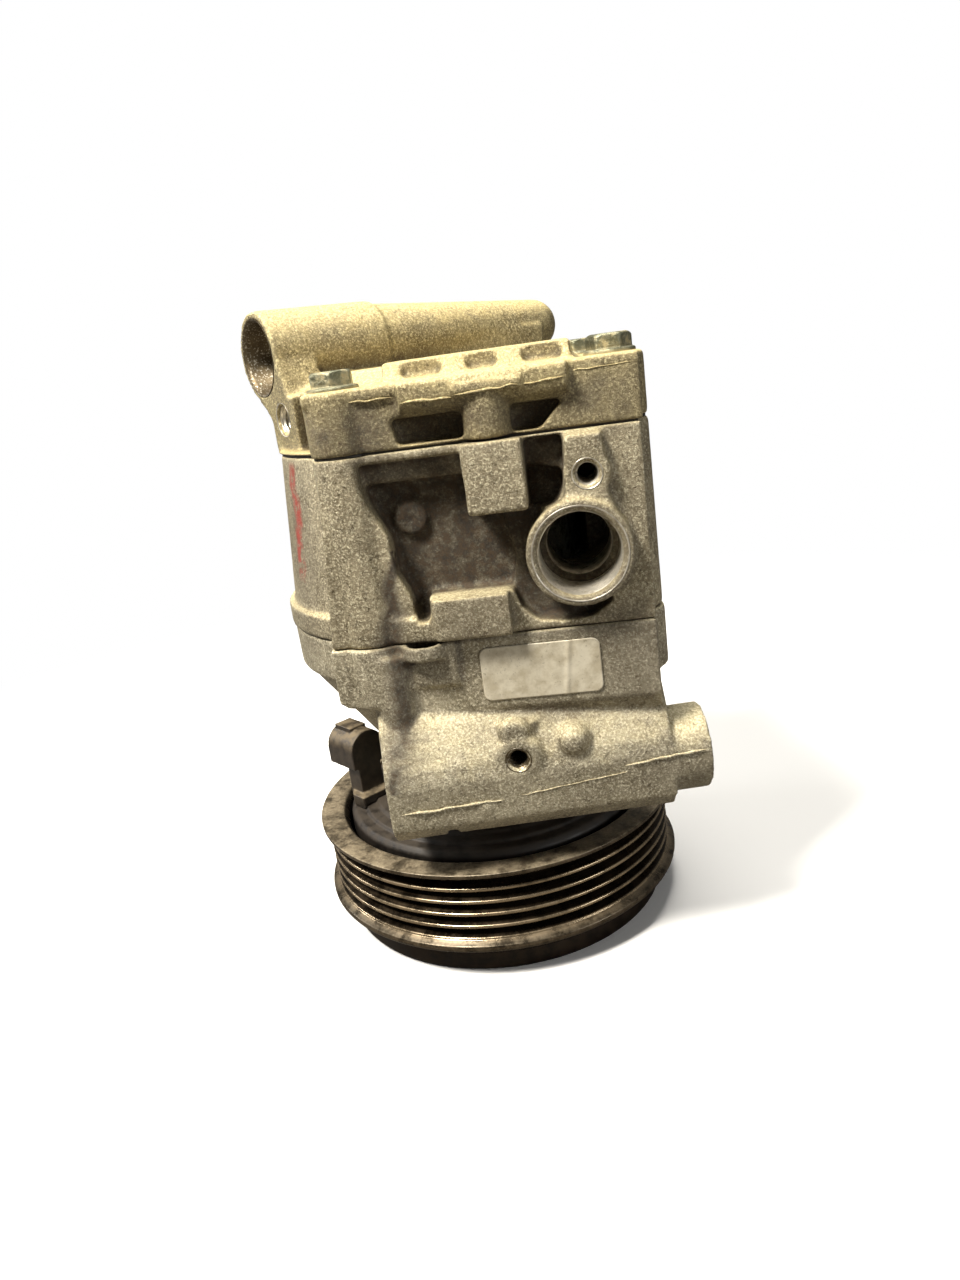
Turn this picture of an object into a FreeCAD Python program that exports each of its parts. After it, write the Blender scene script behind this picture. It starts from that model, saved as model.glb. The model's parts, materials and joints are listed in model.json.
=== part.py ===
import FreeCAD, Part
import math
import os
from FreeCAD import Vector

# Belt-driven scroll compressor for a car's air conditioning, with a magnetic clutch.
# Millimetres. The shaft is the Z axis, the clutch is at the bottom and the rear cover is at the top.
# The origin is on the shaft axis, in the plane of the armature plate's front face, on which it stands.
# X runs along the face that carries the suction port, and that face looks towards -Y.

# ---- driving dimensions ----
# heights of the main planes
PULLEY_FRONT_Z = 6.5
PULLEY_REAR_Z = 31.5
FRONT_HOUSING_Z = 44.0
FRONT_JOINT_Z = 91.0
REAR_JOINT_Z = 135.0
COVER_RIM_Z = 149.5
COVER_DOME_Z = 153.2
TUBE_AXIS_Z = 159.5

# pulley: five ribs of the PK belt profile
RIB_PITCH = 3.56
RIB_COUNT = 5
CREST_R = 49.7
GROOVE_DEPTH = 2.9
FLANGE_R = 51.6
PULLEY_BORE_R = 26.0
COIL_CHANNEL_R = 43.6

# casings
SHELL_FOOT_R = 47.2
SHELL_TOP_R = 43.2
CAVITY_R = 36.0
NEAR_FACE_Y = -46.5
BLOCK_RIGHT_X = 48.2
BLOCK_BACK_Y = -15.0
BOLT_PLACES = [(-18.0, -41.3), (43.5, -33.0), (38.0, 28.0), (-3.0, 46.5), (-39.5, 22.5)]
BOLT_R = 3.0
BOLT_HOLE_R = 3.2
BOLT_BOSS_R = 7.4
GASKET_T = 0.4

# ports
SUCTION_X = 32.6
SUCTION_Z = 108.6
SUCTION_R = 9.3
PORT_FACE_Y = -51.0
PORT_RING_R = 12.0
CLAMP_HOLE_R = 2.55
CLAMP_PAD_R = 5.2
CLAMP_HOLE_X = 35.8
CLAMP_HOLE_Z = 125.6
TUBE_MOUTH = Vector(-43.7, -9.5, TUBE_AXIS_Z)
TUBE_HEADING = 39.0
TUBE_LENGTH = 88.0
TUBE_BORE_R = 8.6
TUBE_BORE_DEPTH = 30.0
TUBE_PASSAGE_R = 5.6
TUBE_COLLAR_R = 11.3
TUBE_COLLAR_LENGTH = 33.0
TUBE_WAIST_R = 10.5
TUBE_END_R = 7.4
LUG_HOLE_R = 3.4

# cross mounting boss
MOUNT_R = 10.5
MOUNT_BORE_R = 4.25
MOUNT_Z = 54.6
MOUNT_TURN = 7.4
MOUNT_LENGTH = 78.0

# scroll wraps: semicircles about two centres
WRAP_CENTRE = 3.0
WRAP_START_R = 9.4
WRAP_HALF_TURNS = 4
WRAP_T = 3.6
WRAP_GAP = 0.25
ORBIT_R = 2.0 * WRAP_CENTRE - WRAP_T - WRAP_GAP
WRAP_LOW_Z = 99.4
WRAP_HIGH_Z = 121.6
PLATE_CLEAR = 0.2

# shaft and bearings
NOSE_R = 17.5
SHAFT_R = 8.0
JOURNAL_R = 12.5
PIN_R = 6.5
BUSH_R = 10.8
MAIN_BEARING_R = 26.0
MAIN_BEARING_Z = (58.0, 73.0)
RUNNING_GAP = 0.03

# clutch
ARMATURE_R = 46.5
ARMATURE_TOP_Z = 6.0
SPRING_Z = (2.0, 2.6)
RIVET_HEAD_R = 3.0
RIVET_R = 1.8

# gaps, seals and small pins
SEAL_T = 1.4
SEAL_DEPTH = 1.0
DOWEL_R = 1.5
DOWEL_PITCH_R = 44.2
ROTATION_PIN_R = 1.25
ROTATION_PITCH_R = 28.9
RING_OUTER_R = 4.2
THRUST_TOP_Z = FRONT_JOINT_Z + 1.4

# relief valve and coil connector
RELIEF_R = 4.8
RELIEF_Z = 141.0
RELIEF_HEADING = 66.0
CONNECTOR_HEADING = 137.0
CONNECTOR_SPAN = (19.8, 32.4)
CONNECTOR_OFFSET = 28.6
CONNECTOR_HALF = 5.8
CONNECTOR_Z = (44.0, 54.6)
CONNECTOR_WALL = 1.3
SOCKET_DEPTH = 8.5

UP = Vector(0, 0, 1)
AHEAD = Vector(0, -1, 0)
INWARD = Vector(0, 1, 0)
ALONG_X = Vector(1, 0, 0)
OVER = 1.0

os.makedirs("parts", exist_ok=True)


def save(name, shape):
    """Write one named sub-part, and say how many solids it has."""
    shape.exportStep("parts/" + name + ".step")
    print(name, "solids", len(shape.Solids), "volume", round(shape.Volume, 1), "valid", shape.isValid())


def rod(start, direction, radius, length):
    """A cylinder from a start point along a direction."""
    return Part.makeCylinder(radius, length, start, direction)


def post(radius, low, high, x=0.0, y=0.0):
    """A cylinder standing along Z between two heights."""
    return Part.makeCylinder(radius, high - low, Vector(x, y, low), UP)


def ring(inner, outer, low, high, x=0.0, y=0.0):
    """A plain ring about the Z direction."""
    return post(outer, low, high, x, y).cut(post(inner, low - OVER, high + OVER, x, y))


def cone(foot_r, top_r, low, high):
    """A tapered round body about the Z axis."""
    return Part.makeCone(foot_r, top_r, high - low, Vector(0, 0, low), UP)


def block(low, high):
    """A box between two corners."""
    size = Vector(*high).sub(Vector(*low))
    return Part.makeBox(size.x, size.y, size.z, Vector(*low))


def turned(profile):
    """A body of revolution about Z from a closed list of radius and height pairs."""
    points = [Vector(radius, 0, height) for radius, height in profile]
    outline = Part.Face(Part.makePolygon(points + [points[0]]))
    return outline.revolve(Vector(0, 0, 0), UP, 360)


def front_slab(outline, near_y, far_y):
    """An outline of X and Z pairs given a thickness along Y."""
    points = [Vector(x, near_y, z) for x, z in outline]
    return Part.Face(Part.makePolygon(points + [points[0]])).extrude(Vector(0, far_y - near_y, 0))


def side_slab(outline, low_x, high_x):
    """An outline of Y and Z pairs given a length along X."""
    points = [Vector(low_x, y, z) for y, z in outline]
    return Part.Face(Part.makePolygon(points + [points[0]])).extrude(Vector(high_x - low_x, 0, 0))


def floor_slab(outline, low, high):
    """An outline of X and Y pairs given a height along Z."""
    points = [Vector(x, y, low) for x, y in outline]
    return Part.Face(Part.makePolygon(points + [points[0]])).extrude(Vector(0, 0, high - low))


def joined(shapes):
    """All the shapes fused into one solid."""
    return shapes[0].multiFuse(shapes[1:]).removeSplitter()


def without(shape, tools):
    """A shape with every tool cut away."""
    return shape.cut(tools)


def around(count, radius, start=0.0):
    """Evenly spaced X and Y places on a circle."""
    angles = [math.radians(start + 360.0 * index / count) for index in range(count)]
    return [(radius * math.cos(angle), radius * math.sin(angle)) for angle in angles]


DOWEL_PLACES = around(2, DOWEL_PITCH_R, 10.0)
ROTATION_PLACES = around(4, ROTATION_PITCH_R, 45.0)


def group(shapes):
    """Separate solids kept together under one name."""
    return Part.makeCompound(shapes)


def mouth_point(along, side, up):
    """A point given from the discharge mouth: along the tube, sideways, and upwards."""
    angle = math.radians(TUBE_HEADING)
    heading = Vector(math.cos(angle), math.sin(angle), 0)
    sideways = Vector(math.sin(angle), -math.cos(angle), 0)
    return TUBE_MOUTH.add(heading * along).add(sideways * side).add(UP * up)


def tube_heading():
    """The direction in which the discharge tube runs inwards from its mouth."""
    angle = math.radians(TUBE_HEADING)
    return Vector(math.cos(angle), math.sin(angle), 0)


def mouth_slab(outline, start, end):
    """An outline in the discharge mouth's plane, given a thickness along the tube."""
    points = [mouth_point(start, side, up) for side, up in outline]
    return Part.Face(Part.makePolygon(points + [points[0]])).extrude(tube_heading() * (end - start))


def mount_frame(shape):
    """Turn a body built along X into the line of the cross mounting boss."""
    shape.rotate(Vector(20.0, -41.0, 0), UP, MOUNT_TURN)
    return shape


def wrap(half_turns, thickness, low, high, turn, shift_x):
    """A scroll wall: semicircles about two centres, each a fixed step larger than the last."""
    half = thickness / 2.0
    inner = []
    outer = []
    for index in range(half_turns):
        radius = WRAP_START_R + 2.0 * WRAP_CENTRE * index
        above = index % 2 == 1
        centre = -WRAP_CENTRE if above else WRAP_CENTRE
        side = 1.0 if above else -1.0
        for edge, reach in ((inner, radius - half), (outer, radius + half)):
            first = Vector(centre + side * reach, 0, low)
            middle = Vector(centre, side * reach, low)
            last = Vector(centre - side * reach, 0, low)
            edge.append(Part.Arc(first, middle, last).toShape())
    first_cap = Part.makeLine(inner[0].Vertexes[0].Point, outer[0].Vertexes[0].Point)
    last_cap = Part.makeLine(inner[-1].Vertexes[-1].Point, outer[-1].Vertexes[-1].Point)
    edges = Part.sortEdges(inner + outer + [first_cap, last_cap])[0]
    wall = Part.Face(Part.Wire(edges)).extrude(Vector(0, 0, high - low))
    wall.rotate(Vector(0, 0, 0), UP, turn)
    wall.translate(Vector(shift_x, 0, 0))
    return wall


def bolt_holes(low, high):
    """Clearance holes for the long casing bolts."""
    return [post(BOLT_HOLE_R, low, high, x, y) for x, y in BOLT_PLACES]


def bolt_bosses(low, high, radius=BOLT_BOSS_R):
    """Round columns that the casing bolts pass through."""
    return [post(radius, low, high, x, y) for x, y in BOLT_PLACES]


def ball_set(ball_r, pitch_r, height, count):
    """Bearing balls on their pitch circle."""
    return [Part.makeSphere(ball_r, Vector(x, y, height)) for x, y in around(count, pitch_r, 5.0)]


def ball_bearing(inner_r, outer_r, low, high, rows, ball_r, count):
    """Rings, cage and balls of a ball bearing; rows are the heights of the ball circles."""
    pitch_r = (inner_r + outer_r) / 2.0
    half_gap = ball_r * 0.62
    races = [Part.makeTorus(pitch_r, ball_r + RUNNING_GAP, Vector(0, 0, row)) for row in rows]
    inner = without(ring(inner_r, pitch_r - half_gap, low, high), races)
    outer = without(ring(pitch_r + half_gap, outer_r, low, high), races)
    balls = [ball for row in rows for ball in ball_set(ball_r, pitch_r, row, count)]
    pockets = [rod(Vector(0, 0, row), Vector(x, y, 0), ball_r + RUNNING_GAP, outer_r)
               for row in rows for x, y in around(count, pitch_r, 5.0)]
    cage_half = half_gap * 0.55
    cage_low = ball_r * 1.2
    cage_in, cage_out = pitch_r - cage_half, pitch_r + cage_half
    cages = [ring(cage_in, cage_out, row - cage_low, row + cage_low) for row in rows]
    return inner, outer, group(balls), group([without(cage, pockets) for cage in cages])


def needle_set(needle_r, pitch_r, low, high, count, x=0.0):
    """Needle rollers standing on a circle."""
    places = around(count, pitch_r)
    return group([post(needle_r, low, high, x + place_x, place_y) for place_x, place_y in places])


def hexagon(across, low, high, x=0.0, y=0.0, turn=0.0):
    """A hexagonal prism about the Z direction."""
    corners = around(6, across / math.sqrt(3.0), turn)
    return floor_slab([(x + corner_x, y + corner_y) for corner_x, corner_y in corners], low, high)


# ---- scroll housing: the middle casing, with the suction port ----
def make_scroll_housing():
    low = FRONT_JOINT_Z
    high = REAR_JOINT_Z
    face = NEAR_FACE_Y
    right = BLOCK_RIGHT_X
    pad_face = PORT_FACE_Y + 1.5
    port = Vector(SUCTION_X, PORT_FACE_Y, SUCTION_Z)
    clamp = Vector(CLAMP_HOLE_X, pad_face, CLAMP_HOLE_Z)
    block_outline = [(-27.7, low), (right, low), (right, high), (-23.7, high)]
    pad = [(31.4, 134.2), (39.6, 134.2), (39.8, 130.6), (40.6, 126.8), (39.8, 121.6), (42.0, 116.0)]
    pad += [(27.5, 116.0), (30.7, 121.8), (31.0, 127.0)]
    body = [
        cone(SHELL_FOOT_R, SHELL_TOP_R, low, high),
        ring(CAVITY_R, SHELL_FOOT_R + 1.2, low, low + 6.0),
        front_slab(block_outline, face, BLOCK_BACK_Y),
        block((SUCTION_X, BLOCK_BACK_Y - OVER, low), (right, -4.0, high)),
        rod(port, INWARD, PORT_RING_R, 20.0),
        rod(clamp, INWARD, CLAMP_PAD_R, 20.0),
        front_slab(pad, pad_face, face + OVER),
        block((9.0, PORT_FACE_Y, 119.4), (22.6, face + OVER, high)),
        block((-2.2, PORT_FACE_Y + 0.6, low + 0.4), (15.8, face + OVER, low + 10.6)),
    ]
    body += bolt_bosses(low, high)
    # the pocket in the near wall, deepest under the shelf and shallower towards the port
    deep = [(-14.4, 128.0), (-13.8, 124.5), (-9.8, 116.0), (-9.4, 107.6), (-7.0, 102.4), (-5.8, 95.8)]
    deep += [(-3.2, 95.8), (-2.8, 101.4), (16.4, 101.4), (18.0, 108.0), (16.0, 119.3), (9.2, 119.3)]
    deep += [(9.2, 128.0)]
    beside_port = [(15.0, 101.4), (16.9, 101.2), (18.4, 96.6), (21.6, 93.6), (27.0, 92.8), (34.0, 93.0)]
    beside_port += [(39.0, 96.4), (34.0, 108.0), (29.0, 119.0), (22.6, 119.3), (14.0, 119.3)]
    shelf = [(-14.6, 127.0), (9.0, 127.0), (9.0, 132.8), (-14.6, 132.8)]
    beside_pad = [(22.6, 119.2), (28.4, 119.4), (30.2, 122.4), (30.8, 127.0), (31.2, 134.3), (22.6, 134.3)]
    beside_pad_deep = [(22.6, 119.2), (28.4, 119.4), (30.2, 122.4), (30.6, 126.4), (22.6, 128.6)]
    hollows = joined([
        front_slab(deep, -60.0, -39.4),
        front_slab(beside_port, -60.0, -42.0),
        front_slab(shelf, -60.0, -42.8),
        front_slab(beside_pad, -60.0, -42.6),
        front_slab(beside_pad_deep, -60.0, -38.4),
    ])
    cuts = [
        hollows.cut([rod(port, INWARD, PORT_RING_R, 20.0), rod(clamp, INWARD, CLAMP_PAD_R, 20.0)]),
        rod(Vector(SUCTION_X, PORT_FACE_Y - OVER, SUCTION_Z), INWARD, SUCTION_R, 14.0),
        rod(port, INWARD, SUCTION_R - 1.6, 40.0),
        rod(Vector(CLAMP_HOLE_X, PORT_FACE_Y, CLAMP_HOLE_Z), INWARD, CLAMP_HOLE_R, 16.0),
        post(CAVITY_R, low - OVER, high + OVER),
        Part.makeCone(SUCTION_R + 0.6, SUCTION_R - 0.2, 1.4, port, INWARD),
    ]
    cuts += bolt_holes(low - OVER, high + OVER)
    cuts += [post(DOWEL_R, low - OVER, low + 6.0, x, y) for x, y in DOWEL_PLACES]
    housing = without(joined(body), cuts)
    dimple = Part.makeCone(5.2, 3.4, 2.6, Vector(-5.0, -38.4, 119.0), AHEAD)
    dimple = dimple.cut(rod(Vector(-5.0, -44.0, 119.0), INWARD, 0.7, 4.0))
    save("scroll_housing", housing.fuse(dimple))


# ---- front housing: bearing seats, clutch nose and mounting bosses ----
def make_front_housing():
    low = FRONT_HOUSING_Z
    high = FRONT_JOINT_Z
    face = NEAR_FACE_Y
    right = BLOCK_RIGHT_X
    foot = 42.6
    shell_outline = [(0, 36.0), (26.5, 36.0), (26.5, low), (28.5, 52.0), (45.5, 78.0)]
    shell = turned(shell_outline + [(45.5, high), (0, high)])
    near_outline = [(-28.3, high), (-28.3, 77.5), (-26.0, 75.8), (-20.0, 75.3), (-19.0, foot)]
    near_outline += [(right, foot), (right, high)]
    upper_near = front_slab(near_outline, face, -24.0)
    slope = [(-60.0, 40.0), (-60.0, 73.0), (face, 73.0), (-41.0, 64.0), (-41.0, 40.0)]
    slope_cut = side_slab(slope, -80.0, 80.0)
    belly = side_slab([(face, 73.0), (face + 1.0, foot), (-24.0, foot), (-24.0, 73.0)], -19.5, right)
    mount_start = Vector(-20.0, -41.0, MOUNT_Z)
    boss = mount_frame(rod(mount_start, ALONG_X, MOUNT_R, MOUNT_LENGTH))
    web = [(-47.0, foot), (-51.4, 47.0), (-51.5, 57.6), (-50.4, 61.8), (-48.0, 66.6), (-45.6, 70.6)]
    web += [(-43.0, 73.4), (-24.0, 73.4), (-24.0, foot)]
    boss_web = mount_frame(side_slab(web, -20.0, 48.8))
    column = rod(Vector(-14.4, -44.6, 52.0), UP, 5.2, 36.5)
    cup = rod(Vector(-5.6, -45.6, 87.0), UP, 5.6, high - 87.0)
    hole_boss = Part.makeCone(7.4, 5.4, 9.0, Vector(13.4, -42.5, 61.6), AHEAD)
    hood = rod(Vector(13.4, -45.2, 61.6), UP, 5.6, 8.0)
    bump = Part.makeSphere(4.2, Vector(26.5, -47.6, 64.0))
    rear_outline = [(30.0, 50.0), (52.0, 51.0), (52.0, 69.0), (40.0, 78.0), (30.0, 78.0)]
    rear_web = side_slab(rear_outline, -20.0, 22.0)
    rear_boss = rod(Vector(-27.0, 52.0, 60.0), ALONG_X, 9.5, 56.0)
    nose = post(NOSE_R, 6.6, 37.0)
    lobes = bolt_bosses(76.0, high, BOLT_BOSS_R + 0.4)
    near_solid = without(joined([upper_near, belly]), [slope_cut])
    body = [shell, ring(CAVITY_R, SHELL_FOOT_R + 0.6, 80.0, high), near_solid, boss, boss_web, column, cup]
    body += [hole_boss, hood, bump, rear_web, rear_boss, nose] + lobes
    main_low, main_high = MAIN_BEARING_Z
    cuts = [
        post(13.4, 5.0, 20.0),
        post(12.0, 19.0, 34.0),
        post(15.0, 33.9, 47.0),
        post(16.0, 46.9, main_low + 0.1),
        post(MAIN_BEARING_R, main_low, main_high + 0.1),
        post(27.0, main_high, high + OVER),
        ring(25.0, 28.4, main_high + 0.1, main_high + 1.6),
        ring(14.0, 16.2, 45.6, 46.9),
        ring(16.9, 19.0, 6.9, 8.0),
        ring(16.9, 19.0, 31.6, 32.8),
        ring(39.6, 42.0, high - 1.8, high + OVER),
        rod(Vector(13.4, -60.0, 61.6), INWARD, CLAMP_HOLE_R - 0.25, 22.0),
        rod(Vector(-60.0, 52.0, 60.0), ALONG_X, MOUNT_BORE_R, 120.0),
        mount_frame(rod(Vector(-60.0, -41.0, MOUNT_Z), ALONG_X, MOUNT_BORE_R, 140.0)),
        block((-6.0, -60.0, foot - OVER), (-3.6, -44.0, foot + 2.2)),
        rod(Vector(-5.6, -46.2, high - 2.4), UP, 3.9, 4.0),
        block((1.5, -60.0, 72.0), (60.0, face, high + OVER)),
    ]
    cuts += [post(2.75, high - 16.0, high + OVER, x, y) for x, y in BOLT_PLACES]
    cuts += [post(DOWEL_R, high - 5.0, high + OVER, x, y) for x, y in DOWEL_PLACES]
    cuts += [post(ROTATION_PIN_R, high - 7.0, high + OVER, x, y) for x, y in ROTATION_PLACES]
    save("front_housing", without(joined(body), cuts))


# ---- rear cover: discharge chamber and the diagonal discharge tube ----
def make_rear_cover():
    low = REAR_JOINT_Z + GASKET_T
    rim = COVER_RIM_Z
    face = NEAR_FACE_Y
    right = BLOCK_RIGHT_X + 0.6
    heading = tube_heading()
    back = heading * -1.0
    taper = TUBE_LENGTH - TUBE_COLLAR_LENGTH
    neck = Vector(15.4, face + 1.8, low)
    crown = [(face + 4.6, rim - 0.2), (-38.6, 153.8), (-22.0, 154.0), (0, 153.2), (0, rim - 0.2)]
    flange = [(face + OVER, rim), (face - 2.6, rim), (face - 2.6, 145.0), (face - 1.8, 143.4)]
    flange += [(face + OVER, 141.9)]
    body = [
        post(SHELL_TOP_R + 0.6, low, rim),
        block((-24.0, face, low), (right, BLOCK_BACK_Y, rim)),
        block((SUCTION_X, BLOCK_BACK_Y - OVER, low), (right, -4.0, rim)),
        cone(38.0, 30.0, rim - 0.1, COVER_DOME_Z),
        side_slab(crown, -7.0, 35.0),
        side_slab(flange, -2.8, 33.8),
        block((9.2, face - 3.6, 145.2), (23.8, face + OVER, 147.6)),
        rod(neck, UP, 5.3, 9.0),
        block((-24.6, face - 0.7, 146.6), (-3.0, face + OVER, rim)),
        rod(TUBE_MOUTH, heading, TUBE_COLLAR_R, TUBE_COLLAR_LENGTH),
        Part.makeCone(TUBE_WAIST_R, TUBE_END_R, taper, mouth_point(TUBE_COLLAR_LENGTH, 0, 0), heading),
        Part.makeSphere(TUBE_END_R, mouth_point(TUBE_LENGTH, 0, 0)),
    ]
    spine = Part.makeBox(TUBE_LENGTH - 10.0, 17.0, TUBE_AXIS_Z - rim + 2.0, Vector(0, -8.5, 0))
    spine.rotate(Vector(0, 0, 0), UP, TUBE_HEADING)
    spine.translate(mouth_point(8.0, 0, rim - 2.0 - TUBE_AXIS_Z))
    body.append(spine)
    left_pocket = [(-4.4, low + 0.7), (14.0, low + 0.7), (14.0, 141.8), (-5.6, 141.8)]
    right_pocket = [(17.0, low + 0.7), (26.8, low + 0.7), (32.6, 141.8), (17.0, 141.8)]
    # the clamp lug hangs below the mouth, in the plane of its face
    lug_centre = mouth_point(0, 9.3, -15.7)
    body.append(rod(lug_centre, heading, 6.9, 11.0))
    corners = [(-9.8, -5.6), (1.6, -15.7), (4.4, -21.0), (14.2, -11.0), (11.2, -1.0)]
    body.append(mouth_slab(corners, 0, 11.0))
    body += bolt_bosses(low, rim)
    cuts = [
        rod(mouth_point(-OVER, 0, 0), heading, TUBE_BORE_R, TUBE_BORE_DEPTH + OVER),
        rod(TUBE_MOUTH, heading, TUBE_PASSAGE_R, 70.0),
        Part.makeCone(TUBE_BORE_R + 0.9, TUBE_BORE_R - 0.1, 1.2, TUBE_MOUTH, heading),
        rod(lug_centre.add(back * OVER), heading, LUG_HOLE_R, 14.0),
        post(29.0, low - OVER, 146.0),
        rod(Vector(-4.9, 21.9, 144.0), UP, 3.6, TUBE_AXIS_Z - 144.0),
        front_slab([(-2.4, 149.9), (6.4, 149.9), (6.4, 153.6), (-2.4, 153.6)], -60.0, -38.6),
        front_slab([(12.0, 149.9), (18.8, 149.9), (18.8, 153.4), (12.0, 153.4)], -60.0, -38.6),
        front_slab([(24.4, 149.9), (33.0, 149.9), (33.0, 153.4), (24.4, 153.4)], -60.0, -38.6),
        front_slab(left_pocket, -60.0, face + 4.8).cut(rod(neck, UP, 5.3, 9.0)),
        front_slab(right_pocket, -60.0, face + 4.6).cut(rod(neck, UP, 5.3, 9.0)),
        rod(Vector(-26.0, -17.6, 138.6), Vector(-1, 0.35, 0), 4.0, 3.0),
        rod(relief_point(20.0), relief_heading(), RELIEF_R, 40.0),
    ]
    # the wall steps back in front of the mouth's plane, so that a pipe flange can lie on it
    cuts.append(mouth_slab([(-16.0, -23.4), (30.0, -23.4), (30.0, 16.0), (-16.0, 16.0)], -25.0, 0.0))
    cuts.append(mouth_slab([(16.8, -23.4), (26.0, -23.4), (26.0, -9.0), (16.8, -9.0)], -25.0, 4.0))
    cuts += bolt_holes(low - OVER, rim + OVER)
    cuts += [post(7.2, rim, rim + 12.0, x, y) for x, y in BOLT_PLACES]
    save("rear_cover", without(joined(body), cuts))


def make_gasket_and_ring():
    low = REAR_JOINT_Z
    sheet = [
        post(SHELL_TOP_R - 0.2, low, low + GASKET_T),
        block((-23.2, NEAR_FACE_Y + 0.6, low), (BLOCK_RIGHT_X - 0.6, BLOCK_BACK_Y, low + GASKET_T)),
    ]
    sheet += bolt_bosses(low, low + GASKET_T, BOLT_BOSS_R - 0.6)
    cuts = [post(CAVITY_R + 0.4, low - OVER, low + OVER)] + bolt_holes(low - OVER, low + OVER)
    save("rear_gasket", without(joined(sheet), cuts))
    save("housing_o_ring", Part.makeTorus(40.8, 0.88, Vector(0, 0, FRONT_JOINT_Z - 0.9)))


def make_housing_bolts():
    bolts = []
    for x, y in BOLT_PLACES:
        head = joined([
            post(5.8, COVER_RIM_Z, COVER_RIM_Z + 0.9, x, y),
            hexagon(9.0, COVER_RIM_Z + 0.8, COVER_RIM_Z + 4.4, x, y, 8.0),
            post(BOLT_R, COVER_RIM_Z - OVER, COVER_RIM_Z + OVER, x, y),
        ])
        shank = post(BOLT_R - 0.3, FRONT_JOINT_Z - 14.0, COVER_RIM_Z, x, y)
        bolts.append(head.fuse(shank).removeSplitter())
    save("housing_bolts", group(bolts))
    low, high = FRONT_JOINT_Z - 4.8, FRONT_JOINT_Z + 5.8
    dowels = [post(DOWEL_R - 0.02, low, high, x, y) for x, y in DOWEL_PLACES]
    save("dowel_pins", group(dowels))


def make_scrolls():
    plate_top = WRAP_HIGH_Z + PLATE_CLEAR
    fixed_plate = post(CAVITY_R - 0.05, plate_top, 132.0)
    fixed_plate = without(fixed_plate, [post(3.4, plate_top - OVER, 133.0)])
    fixed_wall = wrap(WRAP_HALF_TURNS, WRAP_T, WRAP_LOW_Z + PLATE_CLEAR, plate_top, 180.0, 0.0)
    seal_groove = wrap(WRAP_HALF_TURNS, SEAL_T, WRAP_LOW_Z, WRAP_LOW_Z + PLATE_CLEAR + SEAL_DEPTH, 180.0, 0.0)
    fixed = without(joined([fixed_plate, fixed_wall]), [seal_groove, post(1.25, 127.0, 133.0, 8.6, 0.0)])
    save("fixed_scroll", fixed)
    seal_low = WRAP_LOW_Z + PLATE_CLEAR * 0.4
    seal_high = WRAP_LOW_Z + PLATE_CLEAR + SEAL_DEPTH
    save("fixed_tip_seal", wrap(WRAP_HALF_TURNS, SEAL_T, seal_low, seal_high, 180.0, 0.0))
    moving_wall = wrap(WRAP_HALF_TURNS, WRAP_T, WRAP_LOW_Z - OVER, WRAP_HIGH_Z, 0.0, ORBIT_R)
    groove = wrap(WRAP_HALF_TURNS, SEAL_T, WRAP_HIGH_Z - SEAL_DEPTH, WRAP_HIGH_Z + PLATE_CLEAR, 0.0, ORBIT_R)
    moving_plate = post(CAVITY_R - ORBIT_R - 0.3, THRUST_TOP_Z + 0.1, WRAP_LOW_Z, ORBIT_R)
    hub = post(18.4, 81.0, THRUST_TOP_Z + OVER, ORBIT_R)
    bores = [post(14.6, 80.0, 92.0, ORBIT_R)]
    ring_low, ring_high = THRUST_TOP_Z - OVER, THRUST_TOP_Z + 4.0
    bores += [post(RING_OUTER_R, ring_low, ring_high, ORBIT_R + x, y) for x, y in ROTATION_PLACES]
    moving = without(joined([moving_plate, hub, moving_wall]), [groove] + bores)
    save("orbiting_scroll", moving)
    high = WRAP_HIGH_Z + PLATE_CLEAR * 0.6
    save("orbiting_tip_seal", wrap(WRAP_HALF_TURNS, SEAL_T, WRAP_HIGH_Z - SEAL_DEPTH, high, 0.0, ORBIT_R))


def make_rotation_stops():
    """Four pins in the front housing, each inside a ring pressed into the orbiting scroll."""
    plate = ring(27.1, CAVITY_R - 0.1, FRONT_JOINT_Z, THRUST_TOP_Z)
    holes = [post(ROTATION_PIN_R + 0.1, 90.0, 94.0, x, y) for x, y in ROTATION_PLACES]
    save("thrust_plate", without(plate, holes))
    pin_low, pin_high = FRONT_JOINT_Z - 6.8, THRUST_TOP_Z + 3.4
    pins = [post(ROTATION_PIN_R, pin_low, pin_high, x, y) for x, y in ROTATION_PLACES]
    save("rotation_pins", group(pins))
    inner = ROTATION_PIN_R + ORBIT_R + 0.1
    rings = []
    for x, y in ROTATION_PLACES:
        rings.append(ring(inner, RING_OUTER_R, THRUST_TOP_Z + 0.1, THRUST_TOP_Z + 3.9, ORBIT_R + x, y))
    save("rotation_rings", group(rings))


def make_discharge_valve():
    plate = 132.0
    blade = [(-5.0, -4.6), (4.0, -3.4), (11.6, -3.4), (11.6, 3.4), (4.0, 3.4), (-5.0, 4.6)]
    reed = floor_slab(blade, plate, plate + 0.3)
    reed = without(reed, [post(1.25, plate - OVER, plate + OVER, 8.6, 0.0)])
    save("discharge_reed", reed)
    low = plate + 0.3
    outline = [(-5.4, low + 2.6), (-5.4, low + 3.8), (5.0, low + 1.4), (12.0, low + 1.4)]
    outline += [(12.0, low), (5.2, low)]
    points = [Vector(x, -3.6, z) for x, z in outline]
    stop = Part.Face(Part.makePolygon(points + [points[0]])).extrude(Vector(0, 7.2, 0))
    save("valve_stop", without(stop, [post(1.25, low - OVER, low + 3.0, 8.6, 0.0)]))
    screw = joined([post(1.2, 127.2, low + 1.6, 8.6, 0.0), post(2.4, low + 1.4, low + 3.4, 8.6, 0.0)])
    save("valve_screw", screw)


def relief_heading():
    """The outward direction of the relief valve."""
    angle = math.radians(RELIEF_HEADING)
    return Vector(math.cos(angle), math.sin(angle), 0)


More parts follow.
